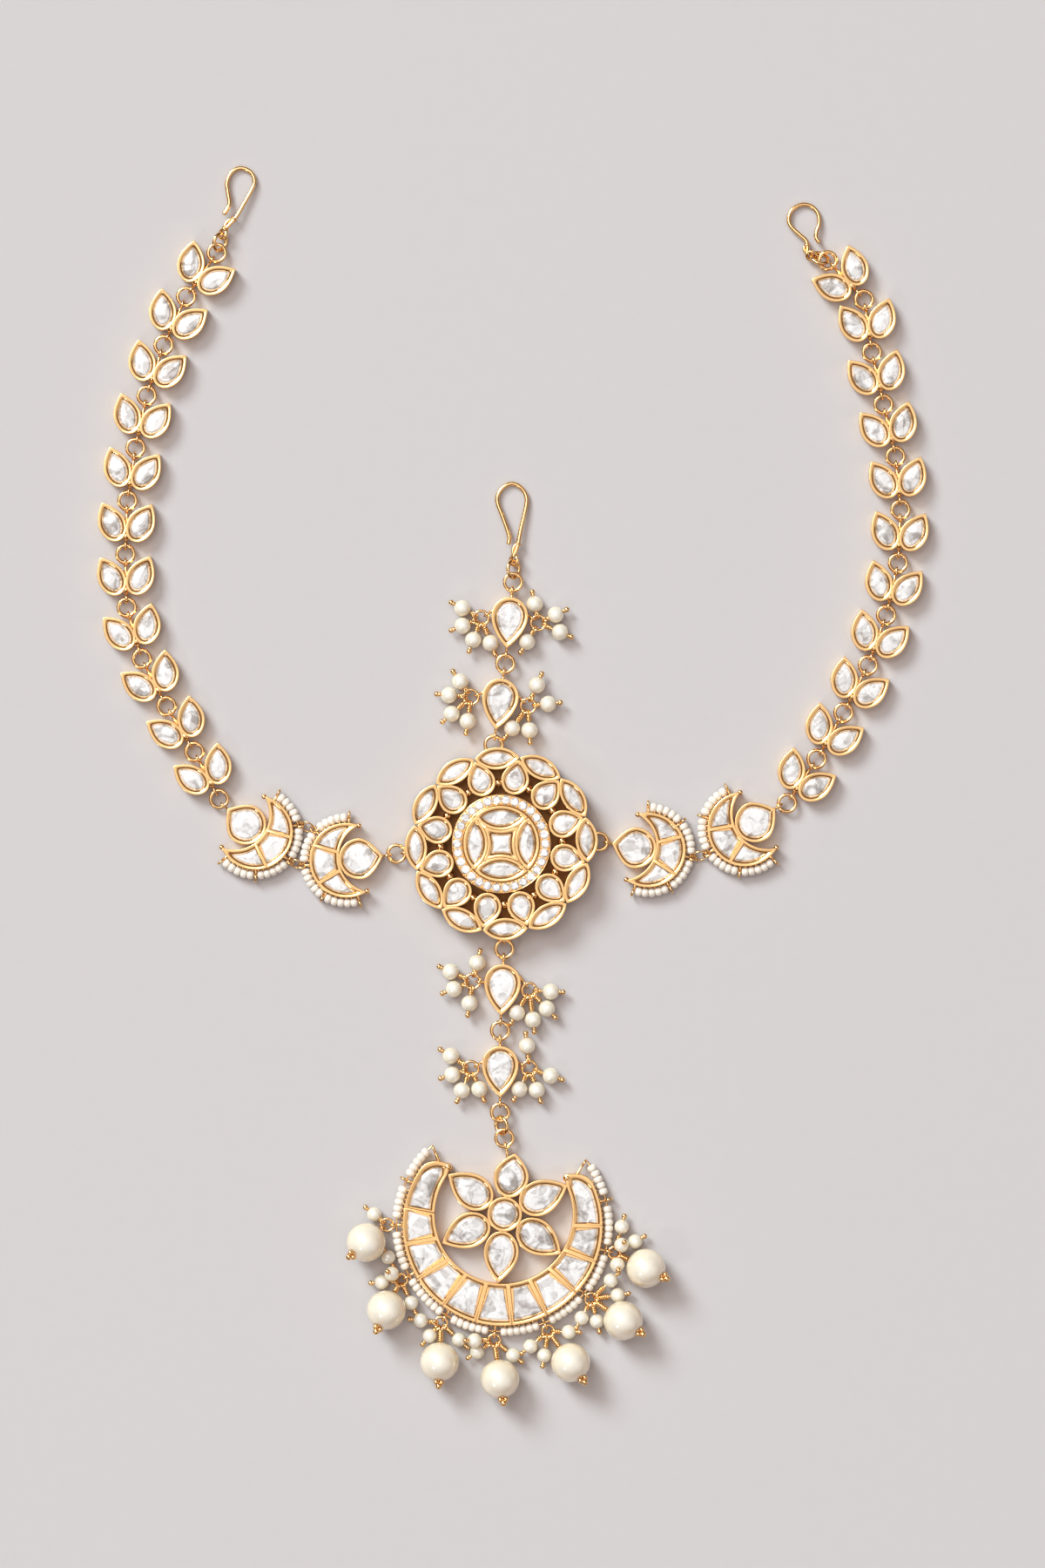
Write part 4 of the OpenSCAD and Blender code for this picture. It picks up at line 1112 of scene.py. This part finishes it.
class HEADPIECE_OT_drop_links(bpy.types.Operator):
    """Models the teardrop links of the centre chain and their stones"""

    bl_idname = "headpiece.drop_links"
    bl_label = "Teardrop links"

    def execute(self, context):
        drop = Setting()
        drop.cups([spot(0, DROP_BELLY, 0, 180)], leaves(*DROP), 0, DROP_H, wall="wide_wall", peak=0.16)
        low_eye = eye_with_neck(DROP_BELLY - DROP[0] - RING_R + 0.8)
        top_eye = eye_with_neck(DROP_PITCH - RING_R - DROP_BELLY - DROP[1] + 0.5)
        drop.metal += [carry(low_eye, spot(0, RING_R, CENTRE_Z, 90)),
                       carry(top_eye, spot(0, DROP_PITCH - RING_R, CENTRE_Z, -90))]
        body, stone = drop.patterns()
        glass = []
        for k, (at, way) in enumerate(zip(DROP_LOW, DROP_TURNS)):
            parts = [copied(body, spot())]
            for side, sign in enumerate((-1, 1)):
                turn = CLUSTER_TURNS[k][side] - way - 90 + 180 * side
                depth = (DROP_EYE_SIDE - DROP[2] + 0.35) / math.cos(math.radians(turn))
                place = spot(sign * DROP_EYE_SIDE, DROP_BELLY, CENTRE_Z, 180 * side + turn)
                parts.append(carry(eye_with_neck(depth, SMALL_EYE_R), place))
            place = at_point(at, 0, way - 90)
            finished(parts, f"drop_link_{k + 1}", "gold_plate", f"drop_{k + 1}", place=place)
            glass.append(copied(stone, place))
        finished(glass, "drop_glass", "foiled_glass", "stones_drops")
        discard(body, stone)
        return {"FINISHED"}


class HEADPIECE_OT_pendant(bpy.types.Operator):
    """Models the crescent pendant with its flower, stones, edge eyes and fine beaded edge"""

    bl_idname = "headpiece.pendant"
    bl_label = "Pendant"

    def execute(self, context):
        body = Setting()
        for shape in (horn_cell(-1), *(crescent_cell(k) for k in range(BARS - 1)), horn_cell(1)):
            body.cups([spot()], thinned(shape), 0, PENDANT_H, on_crescent_bar)
        flower = at_point(FLOWER_AT)
        middle = PETAL_INNER + PETAL_ROUND
        for reach, turns in ((TOP_PETAL_REACH, (-TOP_PETAL_TURN,)), (PETAL_REACH, range(60, 360, 60))):
            body.cups([flower @ spot(turn=turn) @ spot(0, middle) for turn in turns],
                      leaves(reach - middle, PETAL_ROUND, PETAL_HALF), 0, FLOWER_H, peak=0.16)
        body.cups([flower], (disc(FLOWER_CUP_R, 40), disc(FLOWER_CUP_R, 12)), 0, FLOWER_H + 0.25, peak=0.2)
        turns = [90 + turn for turn in PENDANT_EYES]
        body.metal += copies(eye_with_neck(PENDANT_EYE_R - PENDANT_R + 0.2, SMALL_EYE_R),
                             rays(turns[1:-1], PENDANT_EYE_R, PENDANT_Z, 180))
        # The eyes at the two ends of the crescent lean in towards its horns
        ends = ((turns[0], 180 - END_EYE_TURN), (turns[-1], 180 + END_EYE_TURN))
        body.metal += copies(eye_with_neck(3.5, SMALL_EYE_R, 0.4),
                             [at_ray(turn, END_EYE_R, PENDANT_Z, turn + back) for turn, back in ends])
        # Knobs on the horns, and a row of granules round the edge
        x, y, z = HORN_KNOB
        body.metal += copies(ball(0.85), [spot(side * x, y, z) for side in (-1, 1)])
        first, last, count = GRANULES
        places = [at_ray(first + (last - first) * k / (count - 1), PENDANT_R + 0.12, PENDANT_Z + 0.85)
                  for k in range(count)]
        body.metal += copies(ball(0.19, "wire", 8, 5), places)
        pendant = at_point(PENDANT_AT, 0, PENDANT_TURN)
        metal = carry(joined(body.metal, "pendant_metal"), pendant)
        top = PENDANT_RING_3 + ray(TOP_EYE_TURN, RING_R)
        eye = carry(eye_with_neck(EYE_R + 1.6), at_point(top, CENTRE_Z, TOP_EYE_TURN))
        finished([metal, eye], "pendant_metal", "gold_plate", "pendant")
        finished(body.stones, "pendant_glass", "foiled_glass", "stones_pendant", place=pendant)
        return {"FINISHED"}


def pin_place(at, ring_z, r, turn, reach, high):
    """Where a pin starts on the wire of its ring, facing its pearl, and how far off the pearl is."""
    out, up = reach - r, high - ring_z
    rise = math.degrees(math.atan2(up, out))
    return at_point(at + ray(turn, r), ring_z, turn, rise=rise), math.hypot(out, up)


def hanging_pins(i):
    """Pins on one of the pendant's rings, the big pearl's first."""
    return [pin_place(hang_ring(i), PENDANT_Z, HANG_RING_R, *row) for row in HANGING[i][1:]]


def cluster_pins():
    return [pin_place(cluster_ring(k, side), CENTRE_Z, CLUSTER_RING_R, turn, reach, CENTRE_Z)
            for k in range(4) for side in (0, 1) for turn, reach in CLUSTERS[k][side]]


class HEADPIECE_OT_pearls(bpy.types.Operator):
    """Models the drilled pearls, and hangs them round the pendant and beside the centre chain"""

    bl_idname = "headpiece.pearls"
    bl_label = "Pearls"

    def execute(self, context):
        big = drilled_pearl(BIG_PEARL_D, 0.75)
        hanging = []
        for i in range(len(HANGING)):
            (place, out), *small = hanging_pins(i)
            pearl = copied(big, place @ spot(out))
            finished([pearl], f"hanging_pearl_{i + 1}", "pearl", f"big_pearl_{i + 1}")
            hanging += small
        discard(big)
        for group, node, d, bore, pins in (
                ("pendant", "pendant_pearls", SMALL_PEARL_D, 0.4, hanging),
                ("clusters", "cluster_pearls", CLUSTER_PEARL_D, 0.42, cluster_pins())):
            pearls = copies(drilled_pearl(d, bore), [place @ spot(out) for place, out in pins])
            finished(pearls, f"small_pearls_{group}", "pearl", node)
        return {"FINISHED"}


def head_pin(place, reach, pearl_d, balls):
    """Two turns of wire for a loop, its neck wound round, the shank and the balls at its head."""
    loop_r, wire, coil_r = 0.56, 0.2, 0.42
    pitch = wire * 1.9
    start, base = loop_r + wire * 0.5, reach + pearl_d / 2
    windings = max(1, min(11, int((reach - pearl_d / 2 - wire - start) / pitch) + 1))
    coils = [spot(start + k * pitch) @ turned("Y", 82) for k in range(windings)]
    parts = copies(upright_eye(loop_r, wire), [spot(turn=lean / 3, lean=lean) for lean in (-38, 30)])
    parts += copies(hoop(coil_r, wire, 12, 6), coils)
    parts.append(neck(loop_r, base, wire, wire))
    parts += [carry(ball(r, "wire", 12, 8), spot(base + x, y, z)) for r, x, y, z in balls]
    return carry(paint(joined(parts, "pin"), "wire"), place)


class HEADPIECE_OT_head_pins(bpy.types.Operator):
    """Models the wound head pins that hold the pearls"""

    bl_idname = "headpiece.head_pins"
    bl_label = "Head pins"

    def execute(self, context):
        # Balls of each head: radius, and place from the pearl's far side
        big_head = ((0.56, 0.35, 0.6, 0), (0.56, 0.35, -0.5, 0.35), (0.56, 0.35, -0.15, -0.6),
                    (0.68, 1.1, 0, 0))
        small_head = ((0.42, 0.24, 0, 0), (0.55, 0.75, 0, 0))
        medium_head = ((0.46, 0.24, 0, 0), (0.58, 0.82, 0, 0))
        pins = []
        for i in range(len(HANGING)):
            first, *small = hanging_pins(i)
            pins.append(head_pin(*first, BIG_PEARL_D, big_head))
            pins += [head_pin(*pin, SMALL_PEARL_D, small_head) for pin in small]
        finished(pins, "pendant_head_pins", "gold_plate", "pendant_pins")
        pins = [head_pin(*pin, CLUSTER_PEARL_D, medium_head) for pin in cluster_pins()]
        finished(pins, "cluster_head_pins", "gold_plate", "cluster_pins")
        return {"FINISHED"}


class HEADPIECE_OT_jump_rings(bpy.types.Operator):
    """Models the jump rings, each with its cut, and links the chains with them"""

    bl_idname = "headpiece.jump_rings"
    bl_label = "Jump rings"

    def execute(self, context):
        chain = split_ring(RING_R, RING_WIRE + 0.04)
        cluster = split_ring(CLUSTER_RING_R, CLUSTER_RING_WIRE)
        hanging = split_ring(HANG_RING_R, HANG_WIRE)
        draw = random.Random(11)

        def laid(pattern, at, z, way=0.0, lean=0.0):
            return copied(pattern, at_point(at, z, way, lean=lean) @ spot(turn=draw.uniform(0, 360)))

        def leaning(at, way):
            return laid(chain, at, LEAN_Z, way, RING_LEAN)

        def fan_eye(name, k):
            at, axis = FANS[name][:2]
            return at + ray(axis + FAN_EYE_TURNS[k], FAN_EYE_R)

        def tie(*eyes):
            first, second = (fan_eye(*eye) for eye in eyes)
            way = second - first
            return carry(split_ring(way.length / 2, TIE_WIRE, 3, 24, 8),
                         at_point((first + second) / 2, ARM_Z, heading(way), lean=TIE_LEAN))

        for side, (eye, ties) in SIDES.items():
            rings = [laid(chain, at, ARM_Z) for at in CHAINS[side][0] + [MEDALLION_RINGS[eye]]]
            rings.append(leaning(*hook_ring(side)))
            rings += [tie(*eyes) for eyes in ties]
            finished(rings, f"jump_rings_{side}", "gold_plate", f"rings_{side}")
        flat = (TOP_RING, BOTTOM_RING, MIDDLE_RING, LOWER_RING, HIGH_RING, PENDANT_RING_1, PENDANT_RING_3)
        rings = [laid(chain, at, CENTRE_Z) for at in flat]
        rings += [leaning(*hook_ring("centre")), leaning(PENDANT_RING_2, -80.5)]
        rings += [laid(cluster, cluster_ring(k, side), CENTRE_Z) for k in range(4) for side in (0, 1)]
        rings += [laid(hanging, hang_ring(i), PENDANT_Z) for i in range(len(HANGING))]
        finished(rings, "jump_rings_centre", "gold_plate", "rings_centre")
        discard(chain, cluster, hanging)
        return {"FINISHED"}


class HEADPIECE_OT_seed_beads(bpy.types.Operator):
    """Models the seed beads on their wires round the fans and the pendant"""

    bl_idname = "headpiece.seed_beads"
    bl_label = "Seed beads"

    def string(self, place, r, ends, gaps, count, level):
        """Beads and their wire along an arc about the middle of a place."""
        per_mm = 180 / math.pi / r
        first = ends[0] + gaps[0] * per_mm
        step = (ends[1] - gaps[1] * per_mm - first) / count
        turns = [first + (i + 0.5) * step for i in range(count)]
        beads = copies(seed_bead(BEAD_D, step / per_mm + 0.06),
                       [place @ at_ray(turn, r, level, turn) for turn in turns])
        track = [(*ray(ends[0] + (ends[1] - ends[0]) * i / 12, r), level) for i in range(13)]
        return beads, carry(bent_wire(track, 0.17, 2, 1.0), place)

    def execute(self, context):
        strings = {"left": [], "right": [], "pendant": []}
        for name, (at, axis, _, leans) in FANS.items():
            gaps = [TIE_GAP if lean else BEAD_GAP for lean in leans]
            place = at_point(at, 0, axis)
            strings[name.split("_")[0]] += [
                (place, FAN_BEAD_R, FAN_EYE_TURNS[k:k + 2], gaps[k:k + 2], FAN_BEADS, ARM_Z)
                for k in range(len(leans) - 1)]
        pendant = at_point(PENDANT_AT, 0, PENDANT_TURN)
        for a, b in zip(PENDANT_EYES, PENDANT_EYES[1:]):
            run = math.radians(b - a) * PENDANT_BEAD_R
            count = int((run - 2 * HANG_GAP) / BEAD_PITCH)
            gap = (run - count * BEAD_PITCH) / 2
            ends = (90 + a, 90 + b)
            strings["pendant"].append((pendant, PENDANT_BEAD_R, ends, (gap, gap), count, PENDANT_Z))
        for group, rows in strings.items():
            rows, wires = zip(*(self.string(*row) for row in rows))
            beads = [bead for row in rows for bead in row]
            finished(beads, f"seed_string_{group}", "seed_bead", f"seed_beads_{group}")
            paint(finished(wires, f"bead_wires_{group}", "gold_plate"), "wire")
        return {"FINISHED"}


class HEADPIECE_OT_hooks(bpy.types.Operator):
    """Models the three wire hooks with their eyes and doubled shanks"""

    bl_idname = "headpiece.hooks"
    bl_label = "Hooks"

    def execute(self, context):
        wire = width("hook_wire")
        for name, (_, _, _, sleeve_end, points) in HOOKS.items():
            ring, way = hook_ring(name)
            parts = [bent_wire([(*p, 0) for p in smooth_points(points, 6)], wire, 4)]
            shank = Vector(points[-1])
            sleeve = Vector(sleeve_end) - shank
            across = Vector((-sleeve.y, sleeve.x)).normalized()
            # The sleeve: a second wire bowed beside the shank, held by three coils
            bow = [(i / 8, 0.2 + 0.5 * math.sin(math.pi * i / 8)) for i in range(9)]
            parts.append(bent_wire([(*(shank + sleeve * t + across * off), 0.1) for t, off in bow], 0.32, 3))
            for t in (0.02, 0.12, 0.95):
                place = at_point(shank + sleeve * t, 0, heading(sleeve)) @ turned("Y", 86)
                parts.append(carry(hoop(wire + 0.12, 0.2, 16, 8), place))
            parts.append(carry(hoop(0.95, 0.35, 26, 10), spot(turn=way, lean=RING_LEAN) @ turned("X")))
            sink = math.degrees(math.asin((LEAN_Z - wire - 0.05) / max(y for _, y in points)))
            place = at_point(ring + ray(way, RING_R), LEAN_Z, lean=-sink)
            paint(finished(parts, f"hook_wire_{name}", "gold_plate", f"hook_{name}", place=place), "wire")
        return {"FINISHED"}


class HEADPIECE_OT_stage(bpy.types.Operator):
    """Lays the pale floor, and sets the soft lights and the camera straight above"""

    bl_idname = "headpiece.stage"
    bl_label = "Stage"

    def put(self, name, data, at):
        holder = bpy.data.objects.new(name, data)
        bpy.context.collection.objects.link(holder)
        holder.location = at
        return holder

    def lamp(self, name, kind, at, power, colour, breadth):
        """A light at a place in metres, facing the origin; breadth is its size, or the sun's angle."""
        lamp = bpy.data.lights.new(name, kind)
        lamp.energy = power
        lamp.color = colour
        setattr(lamp, "angle" if kind == "SUN" else "size", breadth)
        holder = self.put(name, lamp, at)
        holder.rotation_euler = (-Vector(at)).to_track_quat("-Z", "Y").to_euler()

    def execute(self, context):
        panel = context.scene.headpiece_stage
        calm()
        bpy.ops.mesh.primitive_plane_add(size=4, location=(0, 0, 0))
        floor = paint(carry(bpy.context.object, spot(z=-0.05)), "floor")
        floor.name = "floor"
        white = (1.0, 1.0, 1.0)
        self.lamp("key_light", "SUN", (-0.6, 0.7, 0.69), panel.key_strength, (0.83, 0.95, 1.0), 0.42)
        self.lamp("top_light", "AREA", (-0.2, 0.25, 2.0), panel.top_power, (1.0, 0.99, 0.98), 1.7)
        self.lamp("side_light", "AREA", (1.1, -0.5, 0.8), panel.side_power, (0.98, 0.98, 1.0), 1.1)
        self.lamp("spark_light", "AREA", (-0.5, 0.55, 1.5), panel.spark_power, white, 0.8)
        self.lamp("glint_light", "AREA", (-0.71, -0.77, 0.92), panel.glint_power, white, 0.16)
        world = bpy.data.worlds.new("studio")
        room = Nodes(world)
        where = room.node("ShaderNodeTexCoord")
        height = room.node("ShaderNodeSeparateXYZ", {"Vector": where}, 2)
        fade = room.node("ShaderNodeValToRGB", {"Fac": height},
                         stops=((0.55, solid(panel.horizon)), (0.97, solid(panel.world))))
        background = room.tree.nodes["Background"]
        room.link(fade, background.inputs["Color"])
        room.link(panel.world_strength, background.inputs["Strength"])
        context.scene.world = world
        context.scene.view_settings.view_transform = "Standard"

        distance = 1.2
        frame_height = 0.3204
        lens = bpy.data.cameras.new("camera")
        lens.sensor_width = 36
        lens.lens = lens.sensor_width * distance / frame_height
        lens.clip_start, lens.clip_end = 0.01, 20
        context.scene.camera = self.put("camera", lens, (0.00187, 0.00071, distance))
        return {"FINISHED"}


def distance_property(name, description, default, low, high):
    return FloatProperty(name=name, description=description, default=default, min=low, max=high,
                         unit="LENGTH", subtype="DISTANCE", precision=5)


def colour_property(name, description, *default):
    return FloatVectorProperty(name=name, description=description, default=default, min=0, max=1,
                               subtype="COLOR", size=3)


def power_property(name, description, default):
    return FloatProperty(name=name, description=description, default=default, min=0, max=100, unit="POWER")


class HeadpieceSizes(bpy.types.PropertyGroup):
    """Widths that all the metal cups share, and the hooks' wire"""

    rim: distance_property("Rim", "Width of the flat rim of a cup", 0.0002, 0.0001, 0.0006)
    wall: distance_property("Inner wall", "Width of the sloping inner wall, seen from above",
                            0.00084, 0.0003, 0.0012)
    wide_wall: distance_property("Wide inner wall", "The same for the teardrop links",
                                 0.00095, 0.0003, 0.0015)
    seat: distance_property("Seat depth", "How far a stone's edge lies below the rim",
                            0.00065, 0.0003, 0.0015)
    soft: distance_property("Edge rounding", "Rounding of the rims", 0.00009, 0.00002, 0.0002)
    hook_wire: distance_property("Hook wire", "Radius of the hooks' wire", 0.00045, 0.0003, 0.0006)


class HeadpieceFinishes(bpy.types.PropertyGroup):
    """Colours of the finishes"""

    gold: colour_property("Gold", "Plating", 1.0, 0.64, 0.29)
    glass: colour_property("Stones", "Foiled glass", 0.82, 0.81, 0.8)
    pearl: colour_property("Pearls", "Pearl coat", 0.84, 0.79, 0.7)
    bead: colour_property("Seed beads", "Opaque glaze", 0.93, 0.85, 0.74)


class HeadpieceStage(bpy.types.PropertyGroup):
    """Floor and lights"""

    floor: colour_property("Floor", "Colour of the floor", 0.551, 0.518, 0.515)
    world: colour_property("Room", "Colour of the light from above", 1.0, 0.9, 0.86)
    world_strength: FloatProperty(name="Room strength", description="Strength of the light from all round",
                                  default=0.8, min=0, max=3)
    horizon: colour_property("Low room", "Colour of the light from low in the room", 0.13, 0.068, 0.042)
    key_strength: FloatProperty(name="Key light", description="Strength of the light at the upper left",
                                default=3.05, min=0, max=20)
    top_power: power_property("Top light", "Power of the large light overhead", 3.5)
    side_power: power_property("Side light", "Power of the light at the lower right", 2.0)
    spark_power: power_property("Spark light", "Power of the nearer light at the upper left", 6.8)
    glint_power: power_property("Glint light", "Power of the small light that the pearls mirror", 1.5)


GROUPS = {"headpiece_sizes": HeadpieceSizes, "headpiece_finishes": HeadpieceFinishes,
          "headpiece_stage": HeadpieceStage}
STEPS = ("leaf_links", "fans", "medallion", "pave_ring", "drop_links", "pendant", "pearls", "head_pins",
         "jump_rings", "seed_beads", "hooks", "stage")


class HEADPIECE_PT_panel(bpy.types.Panel):
    """Lists the settings, and the pieces in the order in which they are made"""

    bl_label = "Headpiece"
    bl_idname = "HEADPIECE_PT_panel"
    bl_space_type = "VIEW_3D"
    bl_region_type = "UI"
    bl_category = "Headpiece"

    def draw(self, context):
        for group in GROUPS:
            settings = getattr(context.scene, group)
            for name in settings.__annotations__:
                self.layout.prop(settings, name)
        for step in STEPS:
            self.layout.operator(f"headpiece.{step}")


CLASSES = (
    *GROUPS.values(),
    HEADPIECE_OT_leaf_links, HEADPIECE_OT_fans, HEADPIECE_OT_medallion, HEADPIECE_OT_pave_ring,
    HEADPIECE_OT_drop_links, HEADPIECE_OT_pendant, HEADPIECE_OT_pearls, HEADPIECE_OT_head_pins,
    HEADPIECE_OT_jump_rings, HEADPIECE_OT_seed_beads, HEADPIECE_OT_hooks, HEADPIECE_OT_stage,
    HEADPIECE_PT_panel,
)


def register():
    for cls in CLASSES:
        bpy.utils.register_class(cls)
    for name, group in GROUPS.items():
        setattr(bpy.types.Scene, name, PointerProperty(type=group))


def unregister():
    for name in GROUPS:
        delattr(bpy.types.Scene, name)
    for cls in reversed(CLASSES):
        bpy.utils.unregister_class(cls)


def main():
    register()
    calm()
    for step in STEPS:
        getattr(bpy.ops.headpiece, step)()
    calm()


if __name__ == "__main__":
    main()
